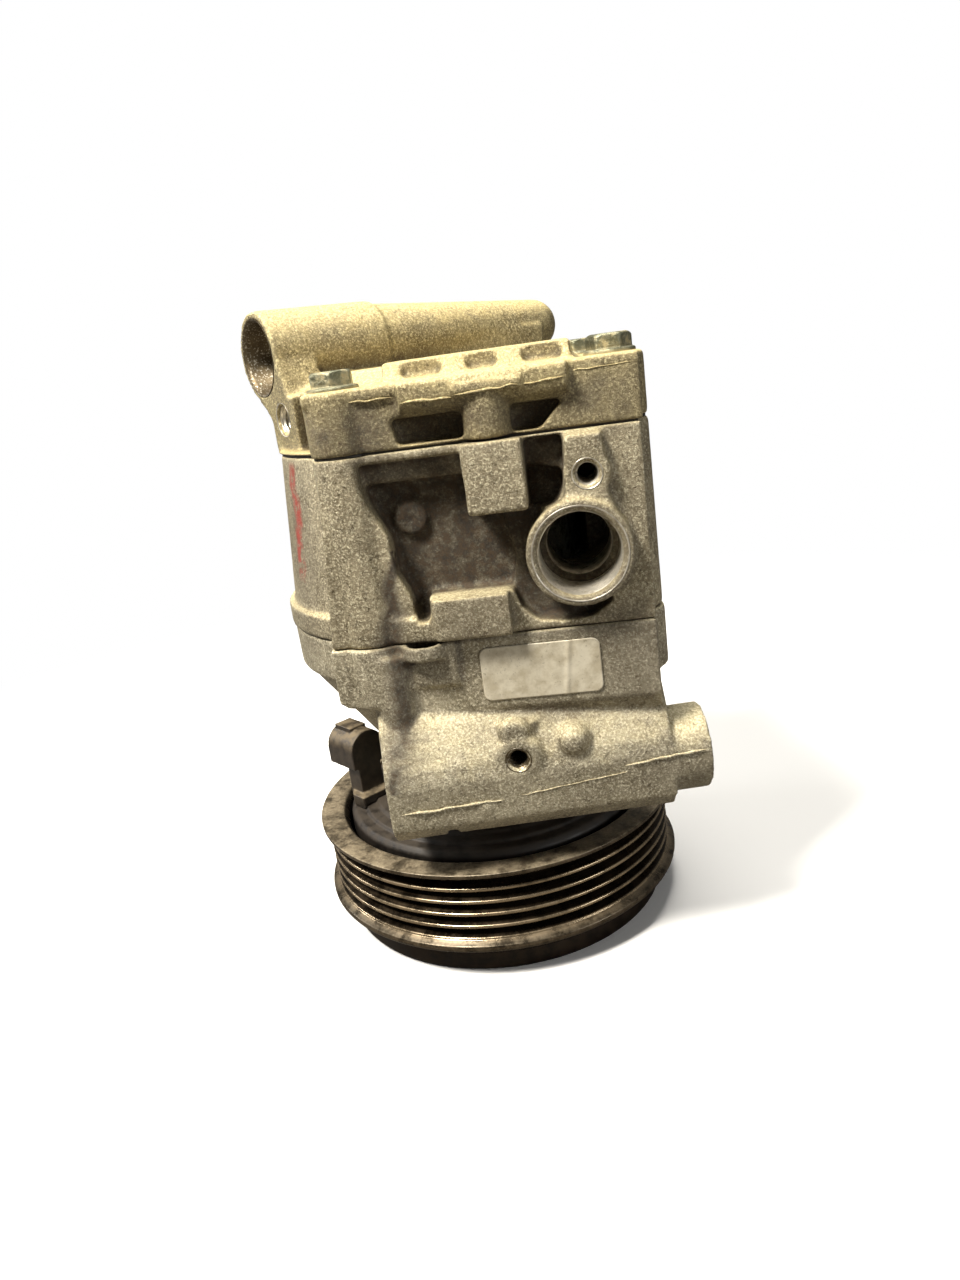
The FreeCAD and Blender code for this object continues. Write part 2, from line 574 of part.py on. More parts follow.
def relief_point(reach):
    """A point on the relief valve's axis."""
    return relief_heading() * reach + UP * RELIEF_Z


def make_relief_valve():
    out = relief_heading()
    stem = rod(relief_point(31.0), out, RELIEF_R, 14.0)
    flange = rod(relief_point(44.4), out, 6.2, 1.4)
    corners = [Vector(45.5, x, RELIEF_Z + z) for x, z in around(6, 6.4, 30.0)]
    head = Part.Face(Part.makePolygon(corners + [corners[0]])).extrude(Vector(5.0, 0, 0))
    head.rotate(Vector(0, 0, 0), UP, RELIEF_HEADING)
    cap = rod(relief_point(50.0), out, 3.2, 2.2)
    body = joined([stem, flange, head, cap])
    save("pressure_relief_valve", body.cut(rod(relief_point(30.0), out, 1.6, 18.0)))


# ---- crankshaft and everything that turns with it ----
def make_shaft_group():
    main_low, main_high = MAIN_BEARING_Z
    shaft = turned([
        (0, 9.0), (SHAFT_R, 9.0), (SHAFT_R, 47.5), (10.5, 48.5), (10.5, main_low - 1.5),
        (14.4, main_low - 1.5),
        (14.4, main_low), (JOURNAL_R, main_low), (JOURNAL_R, main_high + 1.6), (0, main_high + 1.6),
    ])
    pin = post(PIN_R, main_high + 1.0, 90.2, ORBIT_R)
    shaft = without(joined([shaft, pin]), [post(3.0, 8.0, 27.0)])
    save("crankshaft", shaft)
    save("drive_bush", ring(PIN_R, BUSH_R, 80.4, 90.2, ORBIT_R))
    weight = post(23.6, 75.2, 80.0).common(block((-30.0, -30.0, 70.0), (-4.0, 30.0, 85.0)))
    plate = post(12.0, 75.2, 80.0, ORBIT_R)
    bridge = block((-10.0, -11.0, 75.2), (ORBIT_R, 11.0, 80.0))
    save("counterweight", without(joined([weight, plate, bridge]), [post(PIN_R, 70.0, 85.0, ORBIT_R)]))
    inner, outer, balls, cage = ball_bearing(JOURNAL_R, MAIN_BEARING_R, main_low, main_high, [65.5], 3.9, 9)
    save("main_bearing_inner_ring", inner)
    save("main_bearing_outer_ring", outer)
    save("main_bearing_balls", balls)
    save("main_bearing_cage", cage)
    clip_gap = block((-3.0, 20.0, 70.0), (3.0, 30.0, 80.0))
    clip = without(ring(24.6, 28.2, main_high + 0.2, main_high + 1.5), [clip_gap])
    save("bearing_circlip", clip)
    save("front_bearing_cup", ring(10.5, 12.0, 20.5, 32.5))
    save("front_bearing_needles", needle_set(1.21, (SHAFT_R + 10.5) / 2.0, 21.2, 31.8, 18))
    save("scroll_bearing_cup", ring(13.2, 14.6, 80.8, 91.6, ORBIT_R))
    save("scroll_bearing_needles", needle_set(1.16, 12.0, 81.2, 90.0, 22, ORBIT_R))
    lip_r = SHAFT_R + 0.05
    lip_seal = [(lip_r, 36.0), (10.4, 35.0), (15.0, 35.0), (15.0, 45.4)]
    lip_seal += [(11.0, 45.4), (11.0, 38.0), (lip_r, 37.4)]
    save("shaft_seal", turned(lip_seal))
    seal_clip = without(ring(13.0, 16.1, 45.6, 46.8), [block((-2.5, 8.0, 45.0), (2.5, 20.0, 48.0))])
    save("seal_circlip", seal_clip)


# ---- clutch ----
def make_clutch():
    hub = turned([
        (3.2, 4.6), (9.0, 4.6), (9.0, SPRING_Z[1]), (22.0, SPRING_Z[1]), (22.0, 5.4), (12.4, 5.4),
        (12.4, 16.0),
        (SHAFT_R + 0.01, 16.0), (SHAFT_R + 0.01, 8.4), (3.2, 8.4),
    ])
    hub_places = around(3, 17.6, 90.0)
    rim_places = around(3, 34.0, 150.0)
    hub = without(hub, [post(RIVET_R, 0, 9.0, x, y) for x, y in hub_places])
    save("clutch_hub", hub)
    plate = turned([
        (25.0, 3.4), (26.4, SPRING_Z[1]), (39.6, SPRING_Z[1]), (40.6, 0.0), (ARMATURE_R - 0.8, 0.0),
        (ARMATURE_R, 0.8), (ARMATURE_R, ARMATURE_TOP_Z), (25.0, ARMATURE_TOP_Z),
    ])
    slots = []
    for index in range(3):
        slot = ring(33.2, 35.2, 4.4, 8.0).common(block((0.0, -16.0, 3.0), (40.0, 16.0, 8.0)))
        slot.rotate(Vector(0, 0, 0), UP, 90.0 + 120.0 * index)
        slots.append(slot)
    plate = without(plate, slots + [post(RIVET_R, 0, 9.0, x, y) for x, y in rim_places])
    save("armature_plate", plate)
    straps = []
    for (start_x, start_y), (end_x, end_y) in zip(hub_places, rim_places):
        run = Vector(end_x - start_x, end_y - start_y, 0)
        strap = Part.makeBox(run.Length, 9.0, SPRING_Z[1] - SPRING_Z[0], Vector(0, -4.5, SPRING_Z[0]))
        strap.rotate(Vector(0, 0, 0), UP, math.degrees(math.atan2(run.y, run.x)))
        strap.translate(Vector(start_x, start_y, 0))
        places = ((start_x, start_y), (end_x, end_y))
        ends = [post(4.5, SPRING_Z[0], SPRING_Z[1], x, y) for x, y in places]
        holes = [post(RIVET_R, 0, 9.0, x, y) for x, y in places]
        straps.append(without(joined([strap] + ends), holes))
    save("leaf_springs", group(straps))
    rivet_sets = (("hub_rivets", hub_places, 5.4), ("armature_rivets", rim_places, ARMATURE_TOP_Z - 0.2))
    for name, places, top in rivet_sets:
        rivets = []
        for x, y in places:
            rivets.append(joined([post(RIVET_HEAD_R, 0.6, SPRING_Z[0], x, y), post(RIVET_R, 1.0, top, x, y)]))
        save(name, group(rivets))
    save("hub_washer", ring(3.1, 7.4, 3.6, 4.6))
    bolt = joined([hexagon(10.0, 0.4, 3.6), post(3.0, 3.0, 26.0)])
    save("hub_bolt", bolt)
    save("hub_shims", group([ring(3.2, 7.6, 8.4, 8.7), ring(3.2, 7.6, 8.7, 9.0)]))


def make_coil():
    shell = turned([
        (30.6, 12.5), (33.0, 12.5), (33.0, 28.5), (40.4, 28.5), (40.4, 12.5), (42.6, 12.5), (42.6, 31.2),
        (41.2, 32.6), (38.6, 32.6), (38.0, 33.6), (35.2, 33.6), (34.4, 34.4), (30.6, 34.4),
    ])
    plate = turned([(NOSE_R + 0.05, 33.0), (31.0, 33.0), (31.0, 36.0), (NOSE_R + 0.05, 36.0)])
    save("coil_shell", joined([shell, plate]))
    save("coil_winding", turned([(33.0, 13.5), (40.4, 13.5), (40.4, 28.5), (33.0, 28.5)]))
    notch = block((-3.0, 15.0, 31.0), (3.0, 25.0, 34.0))
    save("coil_snap_ring", without(ring(16.9, 20.4, 31.7, 32.8), [notch]))


def at_connector(shape):
    """Turn a body built along X into the heading of the connector."""
    shape.rotate(Vector(0, 0, 0), UP, CONNECTOR_HEADING)
    return shape


def make_connector():
    """Two-pin plug socket that lies along the edge of the coil, on a stalk moulded onto it."""
    back, mouth = CONNECTOR_SPAN
    low_z, high_z = CONNECTOR_Z
    half = CONNECTOR_HALF
    wall = CONNECTOR_WALL
    y = CONNECTOR_OFFSET
    roof = rod(Vector(back, y, high_z - half), ALONG_X, half, mouth - back)
    base = block((back, y - half, low_z), (mouth, y + half, high_z - half))
    stalk = block((back, y - 3.4, 33.8), (back + 6.0, y + 4.4, low_z + 2.0))
    foot = block((back - 3.0, y - 4.4, 32.8), (back + 8.0, y + 6.4, 36.4))
    foot = foot.common(ring(31.2, 41.4, 32.0, 37.0))
    latch = block((mouth - 8.0, y - 2.2, low_z - 1.8), (mouth - 5.0, y + 2.2, low_z + 0.5))
    keeper = block((mouth - 9.0, y - 2.8, high_z - 0.5), (mouth - 0.8, y + 2.8, high_z + 0.7))
    coil_clearance = turned([
        (30.0, 28.0), (42.7, 28.0), (42.7, 31.3), (41.3, 32.7), (38.7, 32.7), (38.1, 33.7), (35.3, 33.7),
        (34.5, 34.5), (31.1, 34.5), (31.1, 36.1), (30.0, 36.1),
    ])
    body = joined([roof, base, stalk, foot, latch, keeper])
    start = mouth - SOCKET_DEPTH
    socket_roof = rod(Vector(start, y, high_z - half), ALONG_X, half - wall, SOCKET_DEPTH + OVER)
    socket = block((start, y - half + wall, low_z + wall), (mouth + OVER, y + half - wall, high_z - half))
    blades = []
    for side in (-2.3, 2.3):
        corner = (back + 2.6, y + side - 1.1, low_z + 2.2)
        blades.append(block(corner, (mouth - 2.6, y + side + 1.1, low_z + 3.0)))
    save("connector_shell", at_connector(without(body, [coil_clearance, socket_roof, socket] + blades)))
    save("connector_terminals", at_connector(group(blades)))


# ---- pulley and its bearing ----
def make_pulley():
    top = PULLEY_REAR_Z
    shoulder_high = top - 1.94
    shoulder_low = shoulder_high - RIB_PITCH * RIB_COUNT
    profile = [(COIL_CHANNEL_R, top - 2.3), (45.2, top), (FLANGE_R - 0.4, top), (FLANGE_R, top - 0.4)]
    profile += [(FLANGE_R, top - 1.0), (CREST_R, shoulder_high)]
    for index in range(RIB_COUNT):
        groove_high = shoulder_high - RIB_PITCH * index
        profile.append((CREST_R, groove_high - 0.35))
        profile.append((CREST_R - GROOVE_DEPTH, groove_high - RIB_PITCH / 2.0 + 0.3))
        profile.append((CREST_R - GROOVE_DEPTH, groove_high - RIB_PITCH / 2.0 - 0.3))
        profile.append((CREST_R, groove_high - RIB_PITCH + 0.35))
    profile += [(CREST_R, shoulder_low), (FLANGE_R, shoulder_low - 1.0), (FLANGE_R, shoulder_low - 2.2)]
    profile += [(FLANGE_R - 1.0, shoulder_low - 3.0), (48.2, PULLEY_FRONT_Z), (PULLEY_BORE_R, PULLEY_FRONT_Z)]
    profile += [(PULLEY_BORE_R, 28.0), (29.8, 28.0), (29.8, 11.6), (COIL_CHANNEL_R, 11.6)]
    save("pulley", turned(profile))
    inner, outer, balls, cages = ball_bearing(NOSE_R, PULLEY_BORE_R, 8.2, 27.8, [13.4, 22.6], 2.6, 13)
    save("pulley_bearing_inner_ring", inner)
    save("pulley_bearing_outer_ring", outer)
    save("pulley_bearing_balls", balls)
    save("pulley_bearing_cages", cages)
    save("pulley_bearing_seals", group([ring(20.4, 23.3, 8.4, 9.0), ring(20.4, 23.3, 27.0, 27.6)]))
    gap = block((-3.0, 12.0, 6.0), (3.0, 22.0, 9.0))
    save("pulley_snap_ring", without(ring(16.9, 19.8, 6.95, 8.0), [gap]))


def make_label():
    low = (6.9, NEAR_FACE_Y - 0.3, 74.9)
    high = (34.9, NEAR_FACE_Y, 88.0)
    plate = block(low, high)
    corners = [edge for edge in plate.Edges if abs(edge.BoundBox.YLength - 0.3) < 0.01]
    save("rating_label", plate.makeFillet(1.8, corners))


make_scroll_housing()
make_front_housing()
make_rear_cover()
make_gasket_and_ring()
make_housing_bolts()
make_scrolls()
make_rotation_stops()
make_discharge_valve()
make_relief_valve()
make_shaft_group()
make_clutch()
make_coil()
make_connector()
make_pulley()
make_label()
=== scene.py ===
# %% [markdown]
# # A car's air-conditioning compressor, finished in Blender
# The compressor stands on its magnetic clutch, with the ribbed belt pulley above it, three die-cast aluminium
# casings above that, and the discharge tube across the top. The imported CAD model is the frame: it gives every
# piece its place and its motion. This lesson gives the pieces their real surfaces and finishes, in small cells.

# %% Load the frame
import json
import math
import bpy
import bmesh
import numpy as np
from mathutils import Matrix, Vector


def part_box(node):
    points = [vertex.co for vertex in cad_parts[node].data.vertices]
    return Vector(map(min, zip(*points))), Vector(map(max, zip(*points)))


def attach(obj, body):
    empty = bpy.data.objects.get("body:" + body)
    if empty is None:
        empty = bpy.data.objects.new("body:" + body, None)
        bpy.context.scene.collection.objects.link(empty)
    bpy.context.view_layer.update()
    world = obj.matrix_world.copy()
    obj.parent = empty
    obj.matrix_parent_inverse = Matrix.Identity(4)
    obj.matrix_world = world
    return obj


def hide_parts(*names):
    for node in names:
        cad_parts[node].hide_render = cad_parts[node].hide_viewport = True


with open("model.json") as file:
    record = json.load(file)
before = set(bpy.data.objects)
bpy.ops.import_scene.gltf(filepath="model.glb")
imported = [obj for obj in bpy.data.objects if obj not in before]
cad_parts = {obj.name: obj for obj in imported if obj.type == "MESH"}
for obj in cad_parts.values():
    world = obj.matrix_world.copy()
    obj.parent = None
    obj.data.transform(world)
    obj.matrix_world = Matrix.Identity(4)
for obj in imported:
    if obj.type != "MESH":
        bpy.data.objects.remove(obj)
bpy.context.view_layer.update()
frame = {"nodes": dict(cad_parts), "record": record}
nodes = frame["nodes"]
MM = 0.001

# %% [markdown]
# ## The camera
# The viewer stands in front of the suction port, a little to its right and above it, and holds the camera
# slightly tilted. A camera can be placed by hand and turned with a constraint, or its axes can be written as a
# matrix. The matrix keeps the small tilt exactly, so that way was chosen.

# %% Place the camera
EYE_MM = (32.93, -250.11, 151.83)
VIEW_RIGHT = Vector((0.98781, 0.08312, -0.13161))
VIEW_UP = Vector((0.10111, 0.30026, 0.94848))
LENS_MM = 25.99


def make_camera():
    """A camera whose local X is the picture's right, Y its up, and Z points back at the viewer."""
    camera = bpy.data.objects.new("viewer", bpy.data.cameras.new("viewer"))
    bpy.context.scene.collection.objects.link(camera)
    camera.data.lens = LENS_MM
    camera.data.clip_start = 0.01
    right = VIEW_RIGHT.normalized()
    back = right.cross(VIEW_UP).normalized()
    up = back.cross(right)
    turned = Matrix((right, up, back)).transposed().to_4x4()
    camera.matrix_world = Matrix.Translation(Vector(EYE_MM) * MM) @ turned
    bpy.context.scene.camera = camera
    return camera


camera = make_camera()
print("camera at", [round(value, 3) for value in camera.location])

# %% [markdown]
# ## Colours and nodes
# Colours are picked as sRGB hex values, as on a screen, but a shader counts light in linear numbers, so one
# function turns one into the other. One more function adds a node with its settings and links, so that every
# finish below reads as a short list of steps.

# %% Colour and node helpers


def colour(hex_value):
    """sRGB hex to linear RGBA: below 0.04045 divide by 12.92, else ((c + 0.055) / 1.055) to the power 2.4."""
    parts = [int(hex_value[index:index + 2], 16) / 255.0 for index in (0, 2, 4)]
    linear = [c / 12.92 if c <= 0.04045 else ((c + 0.055) / 1.055) ** 2.4 for c in parts]
    return (*linear, 1.0)


# a smooth step between two values, for Map Range nodes
SMOOTH = {"interpolation_type": "SMOOTHSTEP"}


def add(tree, kind, inputs=None, output=None, **settings):
    """Adds a shader node. inputs gives each socket a value or another node's output, which is linked.
    With output, the output socket of that number or name is returned, ready for the next node."""
    node = tree.nodes.new("ShaderNode" + kind)
    for name, value in settings.items():
        setattr(node, name, value)
    for key, value in (inputs or {}).items():
        if isinstance(value, bpy.types.NodeSocket):
            tree.links.new(value, node.inputs[key])
        else:
            node.inputs[key].default_value = value
    return node if output is None else node.outputs[output]


def start_material(name):
    """An empty material with its main shader; returns it, its tree, the shader and the place in millimetres."""
    material = bpy.data.materials.new(name)
    material.use_nodes = True
    tree = material.node_tree
    shader = tree.nodes["Principled BSDF"]
    place = add(tree, "TexCoord").outputs["Object"]
    in_mm = add(tree, "VectorMath", {0: place, "Scale": 1.0 / MM}, operation="SCALE").outputs[0]
    return material, tree, shader, in_mm


print("grey card", [round(value, 3) for value in colour("808080")])

# %% [markdown]
# ## Surfaces as arrays
# A turned or moulded piece can be drawn as a function of two parameters: how far round, and how far along its
# outline. Numpy works out every point of that grid at once, and the faces join each point to its neighbours.
# Rounded corners come first, because a machined edge always has a small radius that catches the light.

# %% Surface helpers
SCENE = bpy.context.scene


def make_piece(name, points, faces, body, slot_name, material, smooth=True):
    """Puts point and face arrays (in millimetres) into a mesh that rides on a CAD body."""
    mesh = bpy.data.meshes.new(name)
    mesh.from_pydata((np.asarray(points, float) * MM).tolist(), [], np.asarray(faces).tolist())
    mesh.update()
    mesh.validate()
    piece = bpy.data.objects.new(name, mesh)
    SCENE.collection.objects.link(piece)
    mesh.materials.append(material)
    if smooth:
        mesh.shade_smooth()
    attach(piece, body)
    return piece


def grid_faces(rows, columns, close_rows=False, close_columns=False):
    """Quads joining each grid point to the next column and row, wrapping round where asked."""
    row, column = np.meshgrid(
        np.arange(rows if close_rows else rows - 1), np.arange(columns if close_columns else columns - 1),
        indexing="ij")
    next_row, next_column = (row + 1) % rows, (column + 1) % columns
    corners = [row * columns + column, row * columns + next_column,
               next_row * columns + next_column, next_row * columns + column]
    return np.stack([corner.ravel() for corner in corners], axis=1)


def rounded(outline, radius, steps=4, closed=True):
    """Each corner P becomes a curve (1-t)^2 A + 2t(1-t) P + t^2 B, with A and B at most radius away from P."""
    points = np.asarray(outline, float)
    before, after = np.roll(points, 1, axis=0), np.roll(points, -1, axis=0)
    reach_a, reach_b = before - points, after - points
    length_a = np.maximum(np.linalg.norm(reach_a, axis=1, keepdims=True), 1e-9)
    length_b = np.maximum(np.linalg.norm(reach_b, axis=1, keepdims=True), 1e-9)
    radii = np.broadcast_to(np.asarray(radius, float).reshape(-1, 1), length_a.shape)
    start = points + reach_a / length_a * np.minimum(radii, length_a * 0.45)
    end = points + reach_b / length_b * np.minimum(radii, length_b * 0.45)
    t = np.linspace(0.0, 1.0, steps)[None, :, None]
    curve = (1 - t) ** 2 * start[:, None] + 2 * t * (1 - t) * points[:, None] + t ** 2 * end[:, None]
    if not closed:
        curve[0], curve[-1] = points[0], points[-1]
    return curve.reshape(-1, 2)


def turned_surface(outline, segments=256):
    """Each outline point (r, z) sweeps a circle: x = r cos a, y = r sin a. The outline is a closed loop."""
    angle = np.linspace(0.0, 2.0 * math.pi, segments, endpoint=False)
    radius, height = np.asarray(outline, float).T
    points = np.stack([
        np.outer(radius, np.cos(angle)), np.outer(radius, np.sin(angle)),
        np.outer(height, np.ones(segments))], axis=-1)
    return points.reshape(-1, 3), grid_faces(len(radius), segments, True, True)


def face_out(piece):
    """Turns every face outwards once doubles are merged."""
    work = bmesh.new()
    work.from_mesh(piece.data)
    bmesh.ops.remove_doubles(work, verts=work.verts, dist=1e-6)
    bmesh.ops.recalc_face_normals(work, faces=work.faces)
    work.to_mesh(piece.data)
    work.free()
    piece.data.update()
    return piece


print("corner test", rounded([(0, 0), (1, 0), (1, 1), (0, 1)], 0.2).shape)

# %% [markdown]
# ## Die-cast casings: shape
# The casings are die-cast: hot aluminium is shot into a steel mould, so no outer edge is sharp and every inner
# corner has a fillet. The CAD has sharp edges. One could bevel them, but a bevel fails where many cuts meet. Here
# a copy of the CAD mesh is remeshed into small even cells, as if cast again, and then each point moves towards
# the middle of its neighbours. That rounds edges and fills corners at once, everywhere.

# %% Casting helpers


def lumps(points, size, seed):
    """Smooth random heights from -1 to 1: random numbers on a lattice, blended by t*t*(3-2t) between its corners."""
    table = np.random.default_rng(seed).uniform(-1.0, 1.0, (64, 64, 64))
    place = np.asarray(points, float) / size + 1000.0
    cell = np.floor(place).astype(int)
    t = place - cell
    t = t * t * (3.0 - 2.0 * t)
    total = np.zeros(len(place))
    for corner in np.ndindex(2, 2, 2):
        weight = np.prod(np.where(np.array(corner) == 1, t, 1.0 - t), axis=1)
        at = (cell + np.array(corner)) % 64
        total += weight * table[at[:, 0], at[:, 1], at[:, 2]]
    return total


def relax(points, edges, rounds, share, hold=None):
    """Moves each point by share of the way to the mean of its neighbours, rounds times. hold is 1 where it stays."""
    count = len(points)
    ends = np.concatenate([edges, edges[:, ::-1]])
    links = np.maximum(np.bincount(ends[:, 0], minlength=count), 1)[:, None]
    free = share if hold is None else share * (1.0 - hold[:, None])
    moved = points.copy()
    for _ in range(rounds):
        total = np.stack([np.bincount(ends[:, 0], moved[ends[:, 1], axis], count) for axis in range(3)], axis=1)
        moved += free * (total / links - moved)
    return moved


def read_mesh(mesh):
    """Points and normals in millimetres, and the edges, as arrays."""
    points = np.zeros(len(mesh.vertices) * 3, np.float32)
    normals = np.zeros(len(mesh.vertices) * 3, np.float32)
    edges = np.zeros(len(mesh.edges) * 2, np.int32)
    mesh.vertices.foreach_get("co", points)
    mesh.vertex_normals.foreach_get("vector", normals)
    mesh.edges.foreach_get("vertices", edges)
    return points.reshape(-1, 3).astype(float) / MM, normals.reshape(-1, 3).astype(float), edges.reshape(-1, 2)


def write_points(mesh, points):
    """Puts points in millimetres back into the mesh."""
    mesh.vertices.foreach_set("co", (points * MM).astype(np.float32).ravel())
    mesh.update()


def paint(mesh, name, values):
    """Stores one number for each point, for a material to read."""
    layer = mesh.attributes.new(name, "FLOAT", "POINT")
    layer.data.foreach_set("value", np.asarray(values, np.float32))


def settled(piece, **modifier):
    """Adds one modifier, and swaps the piece's mesh for the mesh that it gives."""
    settings = dict(modifier)
    added = piece.modifiers.new("work", settings.pop("type"))
    for key, value in settings.items():
        setattr(added, key, value)
    graph = bpy.context.evaluated_depsgraph_get()
    made = bpy.data.meshes.new_from_object(piece.evaluated_get(graph))
    piece.modifiers.remove(added)
    old = piece.data
    piece.data = made
    bpy.data.meshes.remove(old)
    return piece


def merged_copy(node, name, extras=()):
    """A copy of a CAD node with its loose triangles merged, and closed extra solids (points, faces) laid into it."""
    work = bmesh.new()
    work.from_mesh(nodes[node].data)
    bmesh.ops.remove_doubles(work, verts=work.verts, dist=1e-6)
    for points, faces in extras:
        mesh = bpy.data.meshes.new("extra")
        mesh.from_pydata((np.asarray(points) * MM).tolist(), [], np.asarray(faces).tolist())
        side = bmesh.new()
        side.from_mesh(mesh)
        bmesh.ops.recalc_face_normals(side, faces=side.faces)
        side.to_mesh(mesh)
        side.free()
        work.from_mesh(mesh)
        bpy.data.meshes.remove(mesh)
    mesh = bpy.data.meshes.new(name)
    work.to_mesh(mesh)
    work.free()
    piece = bpy.data.objects.new(name, mesh)
    SCENE.collection.objects.link(piece)
    return piece


def hollow_signs(points, normals, edges, reach):
    """How far the smoothed surface lies in front of each point, over reach: above 0 in hollows, below 0 on edges."""
    spacing = np.median(np.linalg.norm(points[edges[:, 0]] - points[edges[:, 1]], axis=1))
    rounds = int((reach / spacing) ** 2)
    return np.einsum("ij,ij->i", relax(points, edges, rounds, 0.7) - points, normals) / reach


# a streak of oily dirt: X, Z and half width along its run, down the left of the near face
STREAK = np.array([
    (-9.6, 112.0, 0.8), (-11.5, 104.0, 2.2), (-12.0, 97.0, 3.0), (-13.0, 91.0, 4.4), (-11.5, 86.0, 4.0),
    (-13.5, 80.0, 3.4), (-12.6, 72.0, 2.8), (-15.0, 64.0, 2.4), (-15.5, 58.0, 1.8)])


# wider dark patches, partly oily stains and partly painted shade: centre X, Y, Z, then reach in X, Y, Z, then
# strength
STAINS = np.array([
    (-14.0, -46.0, 140.0, 17.0, 8.0, 7.5, 0.85), (42.0, -46.0, 140.5, 14.0, 8.0, 7.0, 0.62),
    (10.0, -47.0, 139.5, 17.0, 7.0, 6.5, 0.72), (42.0, -46.0, 82.0, 12.0, 8.0, 14.0, 0.78),
    (24.0, -46.0, 71.5, 15.0, 6.0, 5.0, 0.55), (8.0, -50.0, 96.5, 12.0, 6.0, 7.0, 0.42),
    (32.6, -51.0, 106.0, 15.0, 4.0, 14.0, 0.66), (-38.0, -25.0, 113.0, 11.0, 16.0, 26.0, 0.55),
    (-14.0, -48.0, 66.0, 5.0, 9.0, 14.0, 0.8), (46.0, -40.0, 118.0, 5.0, 9.0, 16.0, 0.35),
    (52.0, -42.0, 52.0, 12.0, 12.0, 8.0, 0.4), (-4.0, -48.0, 86.0, 9.0, 5.0, 6.0, 0.35),
])


def oil_and_shade_map(points):
    """How dark a point is: painted shade and oil where the near wall is set back, and a streak along X, Z places."""
    x, y, z = points.T
    soft = 1.4 * lumps(points, 4.0, 41) + 0.8 * lumps(points, 1.8, 42)
    # painted shade and oil: the set-back middle of the near wall darkens with its depth
    middle = np.clip((y + 45.4 + 0.6 * soft) / 3.6, 0, 1) * (y < -36.2) * (z > 92.0) * (z < 134.6)
    middle *= np.clip((x + 15.5) / 2.0, 0, 1) * np.clip((41.0 - x) / 3.0, 0, 1)
    # painted shadow under the cover's flange, with some oil
    cover = np.clip((y + 45.6 + 0.5 * soft) / 2.6, 0, 1) * (y < -38.0) * (z > 135.6) * (z < 143.0)
    cover *= np.clip((x + 7.0) / 2.0, 0, 1) * np.clip((33.5 - x) / 2.0, 0, 1)
    order = np.argsort(STREAK[:, 1])
    run = np.interp(z, STREAK[order, 1], STREAK[order, 0])
    half = np.interp(z, STREAK[order, 1], STREAK[order, 2])
    streak = np.clip(1.3 - np.abs(x - run + 0.8 * soft) / half, 0, 1) * (y < -39.0) * (z < 113.0) * (z > 57.0)
    seat = np.clip(1.0 - np.abs(z - 90.6 + 0.5 * soft) / 1.4, 0, 1) * (y < -44.0) * (x > -16.0)
    # wide patches: oily stains, and painted shade on the cover's front and the left side
    away = (points[:, None, :] - STAINS[None, :, :3]) / STAINS[None, :, 3:6]
    spread = np.max(STAINS[:, 6] * np.exp(-1.2 * (away ** 2).sum(axis=2) ** 1.5), axis=1) * (1.0 + 0.18 * soft)
    return np.clip(np.max([middle, cover, streak, 0.7 * seat, spread], axis=0), 0, 1)


def cast_again(node, name, cell, rounds, extras=(), hold=None, rough=0.05, limit=190000):
    """Remesh, relax, thin to the triangle limit, then lay on fine lumps and the hollow and edge marks."""
    piece = merged_copy(node, name, extras)
    settled(piece, type="REMESH", mode="VOXEL", voxel_size=cell * MM)
    points, normals, edges = read_mesh(piece.data)
    still = None if hold is None else hold(points)
    write_points(piece.data, relax(points, edges, rounds, 0.5, still))
    triangles = 2 * len(piece.data.polygons)
    if triangles > limit:
        settled(piece, type="DECIMATE", ratio=limit / triangles)
    points, normals, edges = read_mesh(piece.data)
    free = 1.0 if hold is None else 1.0 - hold(points)
    height = 0.7 * lumps(points, 5.0, 1) + 0.4 * lumps(points, 2.0, 2) + 0.3 * lumps(points, 1.1, 3)
    paint(piece.data, "hollow", hollow_signs(points, normals, edges, 2.6))
    paint(piece.data, "edge", -hollow_signs(points, normals, edges, 0.9))
    # painted shade together with oil, streak and joint, for the finish to darken
    paint(piece.data, "oil_and_painted_shade", oil_and_shade_map(points))
    write_points(piece.data, points + normals * (rough * height * free)[:, None])
    piece.data.shade_smooth()
    print(name, "triangles", sum(len(face.vertices) - 2 for face in piece.data.polygons))
    return piece


print("lump test", np.round(lumps(np.zeros((1, 3)), 2.0, 1), 3))

# %% [markdown]
# ## Details that the mould leaves
# Where the two halves of the mould meet they leave a thin raised seam, called flash, and the pins that push the
# casting out leave small round marks. They could be painted as bump, but real relief catches the light. Marks
# and collar are laid into the copy before it is remeshed. The seams are thinner than its cells, so each stays a
# thin strip of its own.

# %% Seams, pads and pin marks


def tube_surface(path, radii, segments=10):
    """Circles of the given radii carried along a path: P + r (cos a S + sin a T), with S and T square to the path."""
    path = np.asarray(path, float)
    along = np.gradient(path, axis=0)
    along /= np.linalg.norm(along, axis=1, keepdims=True)
    guide = np.array([0.0, 0.0, 1.0]) if abs(along[0, 2]) < 0.8 else np.array([1.0, 0.0, 0.0])
    side = np.cross(along, guide)
    side /= np.linalg.norm(side, axis=1, keepdims=True)
    top = np.cross(side, along)
    angle = np.linspace(0.0, 2.0 * math.pi, segments, endpoint=False)
    ring = side[:, None] * np.cos(angle)[None, :, None] + top[:, None] * np.sin(angle)[None, :, None]
    points = path[:, None] + ring * np.asarray(radii, float)[:, None, None]
    return points.reshape(-1, 3), grid_faces(len(path), segments, False, True)


def seam(start, end, height, seed, count=60):
    """A thin wavy ridge between two points, thickest in its middle."""
    t = np.linspace(0.0, 1.0, count)
    path = np.outer(1 - t, start) + np.outer(t, end)
    wobble = lumps(path, 2.4, seed)
    path[:, 2] += 0.25 * wobble
    radii = height * (0.75 + 0.35 * lumps(path, 1.3, seed + 1)) * np.clip(6 * np.minimum(t, 1 - t), 0.05, 1)
    return tube_surface(path, radii, 8)


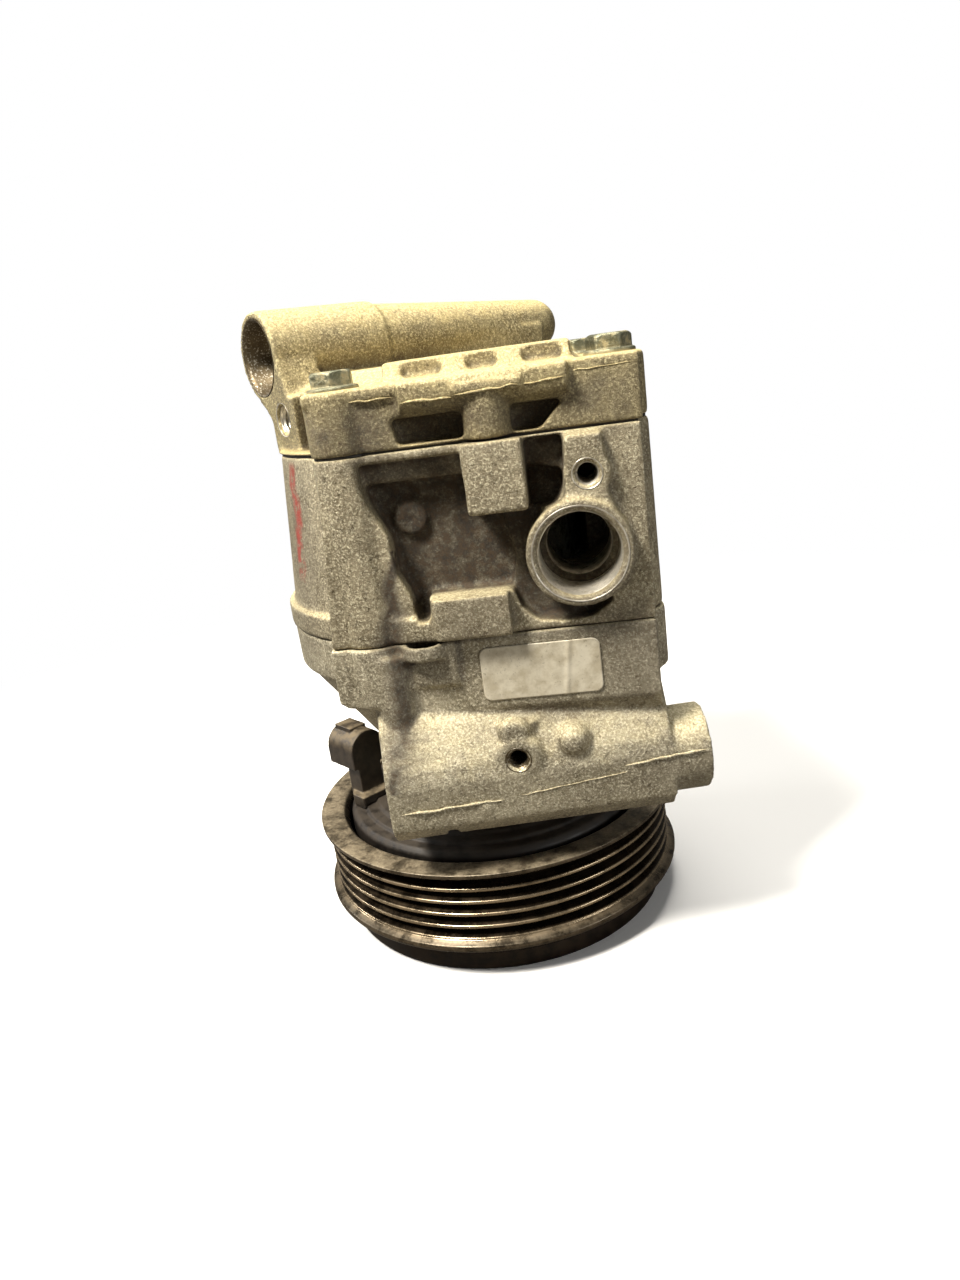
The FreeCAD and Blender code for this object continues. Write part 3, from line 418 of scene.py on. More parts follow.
def bead(centre, direction, radius, length, edge=0.5):
    """A short round pad: a cylinder along direction whose rims are rounded by edge."""
    direction = np.asarray(direction, float) / np.linalg.norm(direction)
    steps = np.array([0.0, 0.0, 0.3, 0.7, 1.0]) * edge
    along = np.concatenate([steps, length - steps[::-1]])
    pull = np.array([1.0, 0.6, 0.25, 0.06, 0.0]) * edge
    radii = radius - np.concatenate([pull, pull[::-1]])
    radii[0] = radii[-1] = 0.01
    path = np.asarray(centre, float) + np.outer(along + np.arange(len(along)) * 1e-4, direction)
    return tube_surface(path, radii, 40)


def boss_point(x, z, out=0.0):
    """A point on the near side of the cross boss, whose line is turned 7.4 degrees about Z."""
    turn = math.radians(7.4)
    along = (x - 20.0) / math.cos(turn)
    return np.array([20.0 + along * math.cos(turn) + (10.5 + out) * math.sin(turn),
                     -41.0 + along * math.sin(turn) - (10.5 + out) * math.cos(turn), z])


def dome_ring():
    """The raised collar round the bracket hole: a half-round outline carried about the hole's axis."""
    outline = [(2.5, 48.4), (2.5, 51.9), (3.0, 52.4), (4.2, 52.5), (5.4, 51.9), (6.2, 50.6), (6.6, 48.4)]
    points, faces = turned_surface(outline, 48)
    return np.stack([13.4 + points[:, 0], -points[:, 2], 61.6 + points[:, 1]], axis=1), faces


front_extras = [
    dome_ring(),
    bead((13.0, -48.0, 68.0), (0.0, -1.0, 0.0), 3.9, 4.0, 2.2),
    bead(boss_point(3.2, 50.2, -0.9), boss_point(3.2, 50.2, 1.0) - boss_point(3.2, 50.2), 1.5, 1.35),
    bead(boss_point(37.6, 53.7, -0.9), boss_point(37.6, 53.7, 1.0) - boss_point(37.6, 53.7), 1.3, 1.2),
]
print("front housing extras", len(front_extras))

# %% [markdown]
# ## Die-cast aluminium: finish
# Years under a bonnet have dulled the casting skin: dry pale dust clings to its grain, road grime and oil fill
# the hollows, and edges are rubbed bright. A single noise would look like stone. So the finish is built in the
# order in which it happened: metal, grain, dust, grime, and wear, each with its own mask and roughness. Some of
# it is painted light: the bright flecks are painted glints, the dark layer in hollows and recesses is grime and
# painted shade together, and the bright edges carry a painted highlight as well as wear.

# %% Cast aluminium


def cast_finish(name, tone, glint_colour, dust_colour, grime_and_shade_share, with_paint=False):
    """Die-cast aluminium alloy: metallic below, chalky under dust, dark and dull under grime and painted shade."""
    material, tree, shader, in_mm = start_material(name)
    hollow = add(tree, "Attribute", attribute_name="hollow").outputs["Fac"]
    edge = add(tree, "Attribute", attribute_name="edge").outputs["Fac"]
    oil_and_painted_shade = add(tree, "Attribute", attribute_name="oil_and_painted_shade").outputs["Fac"]
    normal = add(tree, "NewGeometry").outputs["Normal"]
    upward = add(tree, "SeparateXYZ", {0: normal}).outputs[2]
    open_sky = add(tree, "AmbientOcclusion", {"Distance": 16 * MM}, samples=8).outputs["AO"]
    blotch = add(tree, "TexNoise", {"Vector": in_mm, "Scale": 1 / 16.0, "Detail": 3.0, "Roughness": 0.6}, 0)
    stain = add(tree, "TexNoise", {"Vector": in_mm, "Scale": 1 / 5.0, "Detail": 6.0, "Roughness": 0.72}, 0)
    fine = add(tree, "TexNoise", {"Vector": in_mm, "Scale": 1 / 0.55, "Detail": 4.0, "Roughness": 0.8}, 0)
    pit = add(tree, "TexNoise", {"Vector": in_mm, "Scale": 1 / 1.5, "Detail": 6.0, "Roughness": 0.85}, 0)
    metal = add(tree, "Mix",
        {
            0: add(tree, "MapRange", {0: blotch, 1: 0.38, 2: 0.62}, 0, **SMOOTH), 6: colour(tone[0]),
            7: colour(tone[1])},
        2, data_type="RGBA")
    metal = add(tree, "Mix",
        {
            0: add(tree, "MapRange", {0: stain, 1: 0.34, 2: 0.66, 3: 0.0, 4: 0.45}, 0, **SMOOTH), 6: metal,
            7: colour(tone[2])},
        2, data_type="RGBA")
    metal = add(tree, "Mix",
        {
            0: add(tree, "MapRange", {0: pit, 1: 0.48, 2: 0.68, 3: 0.0, 4: 0.85}, 0, **SMOOTH), 6: metal,
            7: colour("352b1c")},
        2, data_type="RGBA")
    # bright flecks: painted glints of the rough casting skin
    metal = add(tree, "Mix",
        {
            0: add(tree, "MapRange", {0: fine, 1: 0.46, 2: 0.7, 3: 0.0, 4: 0.85}, 0, **SMOOTH), 6: metal,
            7: colour(glint_colour)},
        2, data_type="RGBA")
    upper = add(tree, "Math", {0: upward, 1: 0.6}, 0, operation="MULTIPLY", use_clamp=True)
    dust = add(tree, "MapRange",
        {0: add(tree, "Math",
                {0: upper, 1: add(tree, "Math", {0: stain, 1: 0.75}, 0, operation="MULTIPLY", use_clamp=True)}, 0,
                operation="ADD", use_clamp=True),
            1: 0.44, 2: 0.92, 3: 0.0, 4: 0.8},
        0, **SMOOTH)
    dusty = add(tree, "Mix",
        {
            0: add(tree, "MapRange", {0: fine, 1: 0.4, 2: 0.6}, 0, **SMOOTH), 6: colour(dust_colour[0]),
            7: colour(dust_colour[1])},
        2, data_type="RGBA")
    dusty = add(tree, "Mix",
        {
            0: add(tree, "MapRange", {0: pit, 1: 0.52, 2: 0.66, 3: 0.0, 4: 0.6}, 0, **SMOOTH), 6: dusty,
            7: colour("54462c")},
        2, data_type="RGBA")
    surface = add(tree, "Mix", {0: dust, 6: metal, 7: dusty}, 2, data_type="RGBA")
    # rubbed edges are lightened: wear, with a painted highlight
    wear_and_highlight = add(tree, "Math",
        {
            0: add(tree, "MapRange", {0: edge, 1: 0.06, 2: 0.26}, 0, **SMOOTH),
            1: add(tree, "MapRange", {0: stain, 1: 0.4, 2: 0.62, 3: 0.1, 4: 0.8}, 0, **SMOOTH)},
        0, operation="MULTIPLY", use_clamp=True)
    surface = add(tree, "Mix", {0: wear_and_highlight, 6: surface, 7: colour("d6cdb2")}, 2, data_type="RGBA")
    # painted shade and grime: closed-in places (ambient occlusion) and creases (hollow mark) get the dark layer
    shut = add(tree, "MapRange", {0: open_sky, 1: 0.2, 2: 0.78, 3: 1.0, 4: 0.0}, 0, **SMOOTH)
    hollow_grime_and_shade = add(tree, "MapRange", {0: hollow, 1: 0.03, 2: 0.3}, 0, **SMOOTH)
    grime_and_shade = add(tree, "Math",
        {
            0: add(tree, "Math", {0: shut, 1: oil_and_painted_shade}, 0, operation="MAXIMUM", use_clamp=True),
            1: add(tree, "Math", {0: hollow_grime_and_shade, 1: 0.55}, 0, operation="MULTIPLY", use_clamp=True)},
        0, operation="ADD", use_clamp=True)
    grime_and_shade = add(tree, "Math",
        {0: grime_and_shade,
            1: add(tree, "MapRange",
                {0: add(tree, "Math",
                        {
                            0: add(tree, "Math", {0: stain, 1: 0.5}, 0, operation="MULTIPLY", use_clamp=True),
                            1: add(tree, "Math", {0: pit, 1: 0.5}, 0, operation="MULTIPLY", use_clamp=True)},
                        0, operation="ADD", use_clamp=True),
                    1: 0.38, 2: 0.54, 3: 0.74, 4: 1.0},
                0, **SMOOTH)},
        0, operation="MULTIPLY", use_clamp=True)
    grime_and_shade = add(tree, "Math", {0: grime_and_shade, 1: grime_and_shade_share}, 0, operation="MULTIPLY", use_clamp=True)
    # dark brown for grime, also used as painted shade in hollows and recesses
    grime_and_shade_colour = add(tree, "Mix",
        {0: add(tree, "MapRange", {0: pit, 1: 0.4, 2: 0.62}, 0, **SMOOTH), 6: colour("17110a"), 7: colour("40301c")},
        2, data_type="RGBA")
    surface = add(tree, "Mix", {0: grime_and_shade, 6: surface, 7: grime_and_shade_colour}, 2, data_type="RGBA")
    if with_paint:
        red = add(tree, "Attribute", attribute_name="red").outputs["Fac"]
        brushed = add(tree, "Math",
            {0: red, 1: add(tree, "MapRange", {0: stain, 1: 0.42, 2: 0.56, 3: 0.0, 4: 0.85}, 0, **SMOOTH)}, 0,
            operation="MULTIPLY", use_clamp=True)
        surface = add(tree, "Mix", {0: brushed, 6: surface, 7: colour("96352c")}, 2, data_type="RGBA")
    tree.links.new(surface, shader.inputs["Base Color"])
    bare = add(
        tree, "Math", {0: 0.72, 1: add(tree, "Math", {0: dust, 1: grime_and_shade}, 0, operation="MAXIMUM", use_clamp=True)}, 0,
        operation="SUBTRACT", use_clamp=True)
    tree.links.new(bare, shader.inputs["Metallic"])
    dull = add(tree, "Math",
        {
            0: add(tree, "Math", {0: dust, 1: 0.9}, 0, operation="MULTIPLY", use_clamp=True),
            1: add(tree, "Math", {0: grime_and_shade, 1: 0.8}, 0, operation="MULTIPLY", use_clamp=True)},
        0, operation="MAXIMUM", use_clamp=True)
    tree.links.new(add(tree, "Math",
            {0: dull, 1: add(tree, "MapRange", {0: fine, 1: 0.3, 2: 0.7, 3: 0.42, 4: 0.6}, 0, **SMOOTH)}, 0,
            operation="MAXIMUM", use_clamp=True),
        shader.inputs["Roughness"])
    relief = add(tree, "Math",
        {
            0: add(tree, "Math", {0: fine, 1: 0.65}, 0, operation="MULTIPLY", use_clamp=True),
            1: add(tree, "Math", {0: pit, 1: 0.35}, 0, operation="MULTIPLY", use_clamp=True)},
        0, operation="ADD", use_clamp=True)
    bump = add(tree, "Bump", {"Strength": 0.9, "Distance": 0.4 * MM, "Height": relief})
    tree.links.new(bump.outputs[0], shader.inputs["Normal"])
    return material


# the fourth colour of each finish is its painted glint
cast_middle = cast_finish(
    "die_cast_aluminium_middle", ("8b8169", "a69b80", "6b604a"), "efe6c6", ("9b8b65", "d9cca0"), 0.97, True)
cast_front = cast_finish(
    "die_cast_aluminium_front", ("918873", "aca38b", "71684f"), "f0e8cc", ("a89a75", "e0d4ac"), 0.92)
cast_rear = cast_finish(
    "die_cast_aluminium_rear", ("867a5c", "a5976f", "655a40"), "eddfae", ("a39158", "d8c48c"), 0.9)
print("cast finishes", cast_middle.name, cast_front.name, cast_rear.name)

# %% [markdown]
# ## The three casings
# The middle casing holds the fixed scroll and the suction port, the front one the shaft and the clutch coil, and
# the rear one the discharge chamber with its slanting tube. Each is cast again from its CAD node in 0.6 mm cells.

# %% Cast the three casings
CELL = 0.56


def finish_casting(node, name, material, rounds, extras=()):
    """One casing: cast again, given its finish, and put in the place of its CAD node."""
    piece = cast_again(node, name, CELL, rounds, extras)
    piece.data.materials.clear()
    piece.data.materials.append(material)
    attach(piece, "casing")
    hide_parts(node)
    return piece


middle = finish_casting("scroll_housing", "middle_casing", cast_middle, 5)
front = finish_casting("front_housing", "front_casing", cast_front, 5, front_extras)
rear = finish_casting("rear_cover", "rear_casing", cast_rear, 5)


def join_grids(grids):
    """Several point and face arrays as one pair."""
    points, faces, start = [], [], 0
    for grid_points, grid in grids:
        points.append(grid_points)
        faces.append(grid + start)
        start += len(grid_points)
    return np.concatenate(points), np.concatenate(faces)


front_seams = join_grids([
    seam(boss_point(-17.0, 51.6), boss_point(8.0, 52.2), 0.5, 11),
    seam(boss_point(10.0, 52.6), boss_point(40.0, 55.0), 0.22, 13),
    seam(boss_point(36.0, 56.4), boss_point(57.0, 57.8), 0.5, 15),
])
rear_seams = join_grids([
    seam((-23.6, -47.1, 146.6), (-3.2, -47.2, 146.6), 0.3, 17),
    seam((-2.4, -49.1, 145.1), (9.4, -49.15, 145.0), 0.42, 19),
    seam((9.4, -50.15, 145.3), (23.6, -50.15, 146.0), 0.42, 20),
    seam((23.6, -49.15, 145.6), (33.4, -49.1, 146.2), 0.34, 23),
    seam((34.0, -46.5, 147.0), (48.2, -46.5, 147.3), 0.2, 25),
])
face_out(make_piece("front_mould_seams", *front_seams, "casing", "cast_aluminium", cast_front))
face_out(make_piece("rear_mould_seams", *rear_seams, "casing", "cast_aluminium", cast_rear))

# %% [markdown]
# ## Paint marks from the test bench
# Somebody has struck two strokes of red paint marker down the left side of the middle casing. A stroke follows
# the surface, so each point near the stroke gets a number, and the finish above turns it red.

# %% Mark the paint strokes
STROKES = [(-146.0, 126.0, 134.0), (-144.0, 117.0, 128.0), (-145.5, 104.0, 119.0)]


def paint_strokes(piece):
    """Red is 1 within 3 degrees of a stroke's direction about the shaft and between its two heights."""
    points, _, _ = read_mesh(piece.data)
    angle = np.degrees(np.arctan2(points[:, 1], points[:, 0]))
    reach = np.hypot(points[:, 0], points[:, 1])
    red = np.zeros(len(points))
    for heading, low, high in STROKES:
        wander = 1.5 * lumps(points, 6.0, 21)
        across = np.clip(2.0 - np.abs(angle - heading - wander) / 1.8, 0, 1)
        along = np.clip((points[:, 2] - low) / 2.0, 0, 1) * np.clip((high - points[:, 2]) / 2.0, 0, 1)
        red = np.maximum(red, across * along)
    paint(piece.data, "red", red * (reach > 41.0))
    return int((red > 0.5).sum())


print("painted points", paint_strokes(middle))

# %% [markdown]
# ## Machined bores
# After casting, the ports and screw holes are drilled, bored and tapped, and there the metal is bright and
# smooth. The recast casing rounds them, so each gets its machined wall back: a thin sleeve whose profile is
# carried round the hole's axis. In a tapped hole the radius also rises and falls with the angle, as a screw
# thread does.

# %% Machined walls


def machined_finish(name, tone, roughness):
    """Turned aluminium: bright, with fine rings left by the cutting tool, and a film of dirt."""
    material, tree, shader, in_mm = start_material(name)
    stain = add(tree, "TexNoise", {"Vector": in_mm, "Scale": 1 / 3.0, "Detail": 4.0, "Roughness": 0.7}, 0)
    fine = add(tree, "TexNoise", {"Vector": in_mm, "Scale": 1 / 0.5, "Detail": 2.0, "Roughness": 0.6}, 0)
    surface = add(tree, "Mix",
        {
            0: add(tree, "MapRange", {0: stain, 1: 0.44, 2: 0.7, 3: 0.0, 4: 0.7}, 0, **SMOOTH), 6: colour(tone),
            7: colour("5b4d36")},
        2, data_type="RGBA")
    surface = add(tree, "Mix",
        {
            0: add(tree, "MapRange", {0: fine, 1: 0.55, 2: 0.7, 3: 0.0, 4: 0.5}, 0, **SMOOTH), 6: surface,
            7: colour("e8e2d0")},
        2, data_type="RGBA")
    tree.links.new(surface, shader.inputs["Base Color"])
    shader.inputs["Metallic"].default_value = 0.85
    tree.links.new(
        add(tree, "MapRange", {0: stain, 1: 0.3, 2: 0.7, 3: roughness, 4: roughness + 0.25}, 0, **SMOOTH),
        shader.inputs["Roughness"])
    bump = add(tree, "Bump", {"Strength": 0.3, "Distance": 0.1 * MM, "Height": fine})
    tree.links.new(bump.outputs[0], shader.inputs["Normal"])
    return material


machined = machined_finish("bored_aluminium", "cfc9ba", 0.32)
# a dark tone for the inside of the discharge tube and the bracket hole: oil film and painted shade
oily_and_shaded_bore = machined_finish("oily_and_shaded_bored_aluminium", "5d523e", 0.38)


def frame_of(direction):
    """Three unit vectors: along the direction, and two square to it."""
    along = np.asarray(direction, float) / np.linalg.norm(direction)
    guide = np.array([0.0, 0.0, 1.0]) if abs(along[2]) < 0.8 else np.array([1.0, 0.0, 0.0])
    side = np.cross(along, guide)
    side /= np.linalg.norm(side)
    return along, side, np.cross(along, side)


def sleeve(name, mouth, direction, outline, thread_pitch=0.0, finish=machined, wall=0.12, segments=96):
    """A thin tube: P = mouth + d along + r (cos a S + sin a T), where r follows the outline and the thread."""
    along, side, top = frame_of(direction)
    radius, depth = np.asarray(outline, float).T
    if thread_pitch:
        fine_depth = np.linspace(depth[0], depth[-1], int((depth[-1] - depth[0]) / thread_pitch * 10))
        radius, depth = np.interp(fine_depth, depth, radius), fine_depth
    angle = np.linspace(0.0, 2.0 * math.pi, segments, endpoint=False)
    inner = np.repeat(radius[:, None], segments, axis=1)
    if thread_pitch:
        turn = depth[:, None] / thread_pitch - angle[None, :] / (2.0 * math.pi)
        ridge = np.abs(turn - np.floor(turn) - 0.5) * 2.0
        cut_in = np.clip((depth[:, None] - 0.8) / 0.6, 0, 1)
        inner = inner - 0.3 * thread_pitch * ridge * cut_in
    radii = np.concatenate([inner, np.repeat(radius[::-1, None], segments, axis=1) + wall])
    depths = np.concatenate([depth, depth[::-1]])
    ring = np.cos(angle)[:, None] * side + np.sin(angle)[:, None] * top
    points = np.asarray(mouth, float) + depths[:, None, None] * along + radii[:, :, None] * ring[None]
    piece = make_piece(name, points.reshape(-1, 3), grid_faces(len(depths), segments, True, True),
                       "casing", "machined_aluminium", finish)
    return face_out(piece)


def tapped(size_r, depth):
    """The outline of a tapped hole: a countersink, then the thread down to its depth."""
    return [(size_r + 0.75, -0.04), (size_r - 0.12, 0.85), (size_r - 0.12, depth)]


INWARD = (0.0, 1.0, 0.0)
TUBE_TURN = math.radians(39.0)
TUBE_LINE = np.array([math.cos(TUBE_TURN), math.sin(TUBE_TURN), 0.0])
TUBE_SIDE = np.array([math.sin(TUBE_TURN), -math.cos(TUBE_TURN), 0.0])
MOUTH = np.array([-43.7, -9.5, 159.5])
suction = [(10.7, -0.05), (10.5, 0.02), (9.15, 1.3), (9.15, 13.7), (8.9, 14.0), (7.55, 14.1), (7.55, 26.0)]
sleeve("suction_port_wall", (32.6, -51.0, 108.6), INWARD, suction)
discharge = [(9.6, -0.05), (9.3, 0.05), (8.5, 1.0), (8.5, 29.8), (5.6, 30.0)]
sleeve("discharge_port_wall", MOUTH, TUBE_LINE, discharge, finish=oily_and_shaded_bore)
sleeve("suction_clamp_thread", (35.8, -49.5, 125.6), INWARD, tapped(2.55, 14.0), 1.0)
sleeve("bracket_hole_thread", (13.4, -52.3, 61.6), INWARD, tapped(2.3, 13.7), 0.8, oily_and_shaded_bore)
sleeve("discharge_clamp_thread", MOUTH + 9.3 * TUBE_SIDE + (0, 0, -15.7), TUBE_LINE, tapped(3.4, 11.0), 1.25)
print("machined walls made")

# %% [markdown]
# ## Steel finishes
# The pulley is turned from steel, blackened, and then polished by its belt along the crests of its ribs; the
# bright crests are also a painted highlight. The clutch plates and the coil's case are darker and carry dust.
# Turned steel has fine rings about its axis, so their pattern reads only the distance from the axis and the
# height, never the angle.

# %% Turned and stamped steel


def ringed(tree, in_mm, spacing):
    """Rings about the Z axis: a noise of radius and height only, so that it does not change round the piece."""
    axes = add(tree, "SeparateXYZ", {0: in_mm})
    flat = add(tree, "CombineXYZ", {0: axes.outputs[0], 1: axes.outputs[1]})
    radius = add(tree, "VectorMath", {0: flat.outputs[0]}, operation="LENGTH").outputs["Value"]
    place = add(tree, "CombineXYZ", {0: radius, 1: axes.outputs[2]}).outputs[0]
    rings = add(tree, "TexNoise", {"Vector": place, "Scale": 1.0 / spacing, "Detail": 2.0}).outputs[0]
    return rings, radius, axes.outputs[2]


def pulley_finish():
    """Blackened steel: brown-black grooves, crests rubbed bright and painted as highlights, dusty flanges."""
    material, tree, shader, in_mm = start_material("blackened_pulley_steel")
    rings, radius, height = ringed(tree, in_mm, 0.5)
    normal = add(tree, "NewGeometry").outputs["Normal"]
    upward = add(tree, "SeparateXYZ", {0: normal}).outputs[2]
    stain = add(tree, "TexNoise", {"Vector": in_mm, "Scale": 1 / 5.0, "Detail": 5.0, "Roughness": 0.7}, 0)
    fine = add(tree, "TexNoise", {"Vector": in_mm, "Scale": 1 / 0.6, "Detail": 3.0, "Roughness": 0.7}, 0)
    surface = add(tree, "Mix",
        {
            0: add(tree, "MapRange", {0: stain, 1: 0.35, 2: 0.65}, 0, **SMOOTH), 6: colour("140e08"),
            7: colour("2c2014")},
        2, data_type="RGBA")
    surface = add(tree, "Mix",
        {
            0: add(tree, "MapRange", {0: rings, 1: 0.5, 2: 0.7, 3: 0.0, 4: 0.35}, 0, **SMOOTH), 6: surface,
            7: colour("5a4832")},
        2, data_type="RGBA")
    in_track = add(tree, "Math",
        {
            0: add(tree, "MapRange", {0: height, 1: 11.0, 2: 11.9}, 0, **SMOOTH),
            1: add(tree, "MapRange", {0: height, 1: 29.4, 2: 29.9, 3: 1.0, 4: 0.0}, 0, **SMOOTH)},
        0, operation="MULTIPLY", use_clamp=True)
    # the belt's track on the crests: polished wear with a painted highlight
    crest_wear_and_highlight = add(
        tree, "Math", {0: in_track, 1: add(tree, "MapRange", {0: radius, 1: 49.25, 2: 49.6}, 0, **SMOOTH)}, 0,
        operation="MULTIPLY", use_clamp=True)
    crest_wear_and_highlight = add(
        tree, "Math", {0: crest_wear_and_highlight, 1: add(tree, "MapRange", {0: stain, 1: 0.3, 2: 0.55, 3: 0.45, 4: 1.0}, 0, **SMOOTH)},
        0, operation="MULTIPLY", use_clamp=True)
    surface = add(tree, "Mix", {0: crest_wear_and_highlight, 6: surface, 7: colour("a8967a")}, 2, data_type="RGBA")
    outside = add(tree, "MapRange", {0: radius, 1: 49.8, 2: 50.6, 3: 0.0, 4: 0.35}, 0, **SMOOTH)
    above = add(tree, "Math",
        {
            0: add(tree, "MapRange", {0: upward, 1: 0.3, 2: 0.95}, 0, **SMOOTH),
            1: add(tree, "MapRange", {0: height, 1: 29.0, 2: 30.0, 3: 0.1, 4: 0.9}, 0, **SMOOTH)},
        0, operation="MULTIPLY", use_clamp=True)
    dust = add(tree, "Math",
        {
            0: add(tree, "Math", {0: above, 1: outside}, 0, operation="ADD", use_clamp=True),
            1: add(tree, "MapRange", {0: stain, 1: 0.32, 2: 0.6, 3: 0.35, 4: 0.9}, 0, **SMOOTH)},
        0, operation="MULTIPLY", use_clamp=True)
    powder = add(tree, "Mix",
        {0: add(tree, "MapRange", {0: fine, 1: 0.35, 2: 0.7}, 0, **SMOOTH), 6: colour("7b6e58"), 7: colour("9f9278")},
        2, data_type="RGBA")
    surface = add(tree, "Mix", {0: dust, 6: surface, 7: powder}, 2, data_type="RGBA")
    tree.links.new(surface, shader.inputs["Base Color"])
    tree.links.new(
        add(
            tree, "Math", {0: 0.9, 1: add(tree, "Math", {0: dust, 1: 0.75}, 0, operation="MULTIPLY", use_clamp=True)},
            0, operation="SUBTRACT", use_clamp=True),
        shader.inputs["Metallic"])
    rough = add(tree, "Math",
        {
            0: add(tree, "MapRange", {0: stain, 1: 0.3, 2: 0.7, 3: 0.16, 4: 0.34}, 0, **SMOOTH),
            1: add(tree, "Math", {0: dust, 1: 0.35}, 0, operation="MULTIPLY", use_clamp=True)},
        0, operation="ADD", use_clamp=True)
    tree.links.new(rough, shader.inputs["Roughness"])
    bump = add(tree, "Bump",
        {
            "Strength": 0.35, "Distance": 0.08 * MM,
            "Height": add(tree, "Math",
                {
                    0: add(tree, "Math", {0: rings, 1: 0.5}, 0, operation="MULTIPLY", use_clamp=True),
                    1: add(tree, "Math", {0: fine, 1: 0.4}, 0, operation="MULTIPLY", use_clamp=True)},
                0, operation="ADD", use_clamp=True)})
    tree.links.new(bump.outputs[0], shader.inputs["Normal"])
    return material


def steel_finish(name, dark, light, dust_colour, metallic, rough, dust_share, with_rings=True):
    """Bare or painted steel: two tones of stain, rings or plain grain, and dust on what faces up."""
    material, tree, shader, in_mm = start_material(name)
    stain = add(tree, "TexNoise", {"Vector": in_mm, "Scale": 1 / 4.0, "Detail": 5.0, "Roughness": 0.65}, 0)
    fine = add(tree, "TexNoise", {"Vector": in_mm, "Scale": 1 / 0.6, "Detail": 3.0, "Roughness": 0.7}, 0)
    pattern = ringed(tree, in_mm, 0.4)[0] if with_rings else add(
        tree, "TexNoise", {"Vector": in_mm, "Scale": 1 / 1.2, "Detail": 2.0, "Roughness": 0.6}, 0)
    normal = add(tree, "NewGeometry").outputs["Normal"]
    upward = add(tree, "SeparateXYZ", {0: normal}).outputs[2]
    surface = add(tree, "Mix",
        {0: add(tree, "MapRange", {0: stain, 1: 0.35, 2: 0.65}, 0, **SMOOTH), 6: colour(dark), 7: colour(light)}, 2,
        data_type="RGBA")
    surface = add(tree, "Mix",
        {
            0: add(tree, "MapRange", {0: pattern, 1: 0.52, 2: 0.72, 3: 0.0, 4: 0.35}, 0, **SMOOTH), 6: surface,
            7: colour(light)},
        2, data_type="RGBA")
    dust = add(tree, "Math",
        {
            0: add(tree, "MapRange", {0: upward, 1: 0.1, 2: 0.9}, 0, **SMOOTH),
            1: add(tree, "MapRange", {0: stain, 1: 0.3, 2: 0.6, 3: 0.4, 4: 1.0}, 0, **SMOOTH)},
        0, operation="MULTIPLY", use_clamp=True)
    dust = add(tree, "Math", {0: dust, 1: dust_share}, 0, operation="MULTIPLY", use_clamp=True)
    surface = add(tree, "Mix", {0: dust, 6: surface, 7: colour(dust_colour)}, 2, data_type="RGBA")
    tree.links.new(surface, shader.inputs["Base Color"])
    tree.links.new(
        add(tree, "Math", {0: metallic, 1: dust}, 0, operation="SUBTRACT", use_clamp=True), shader.inputs["Metallic"])
    tree.links.new(add(tree, "Math",
            {
                0: add(tree, "MapRange", {0: stain, 1: 0.3, 2: 0.7, 3: rough, 4: rough + 0.15}, 0, **SMOOTH),
                1: add(tree, "Math", {0: dust, 1: 0.4}, 0, operation="MULTIPLY", use_clamp=True)},
            0, operation="ADD", use_clamp=True),
        shader.inputs["Roughness"])
    bump = add(tree, "Bump",
        {"Strength": 0.3, "Distance": 0.08 * MM,
            "Height": add(tree, "Math",
                {
                    0: add(tree, "Math", {0: pattern, 1: 0.5}, 0, operation="MULTIPLY", use_clamp=True),
                    1: add(tree, "Math", {0: fine, 1: 0.4}, 0, operation="MULTIPLY", use_clamp=True)},
                0, operation="ADD", use_clamp=True)})
    tree.links.new(bump.outputs[0], shader.inputs["Normal"])
    return material


pulley_steel = pulley_finish()
clutch_steel = steel_finish("phosphated_clutch_steel", "1a130d", "33281c", "5d4d38", 0.55, 0.42, 0.5)
coil_steel = steel_finish("painted_coil_case_steel", "120f0c", "241e17", "3f3527", 0.35, 0.42, 0.45)
ground_steel = steel_finish("ground_bearing_steel", "8b8d90", "b4b6b8", "8a8577", 1.0, 0.18, 0.0)
plated_steel = steel_finish("zinc_plated_bolt_steel", "5d6150", "868a74", "b5a57c", 0.8, 0.38, 0.6, False)
spring_steel = steel_finish("blued_spring_steel", "2c2d33", "4a4b50", "5d5545", 0.95, 0.3, 0.2, False)
print("steel finishes made")

# %% [markdown]
# ## The belt pulley
# A poly-V belt has five ribs, 3.56 mm apart, so the pulley has five grooves of that spacing between two flanges.
# Its outline is a closed list of radii and heights with a small curve at every corner, swept once round. A spin
# modifier could do it too, but the array keeps every radius under control.

# %% Pulley and coil case
RIB_PITCH = 3.56
CREST_R = 49.7
GROOVE_DEPTH = 2.9
FLANGE_R = 51.6
pulley_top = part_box("pulley")[1].z / MM
pulley_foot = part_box("pulley")[0].z / MM + 0.05


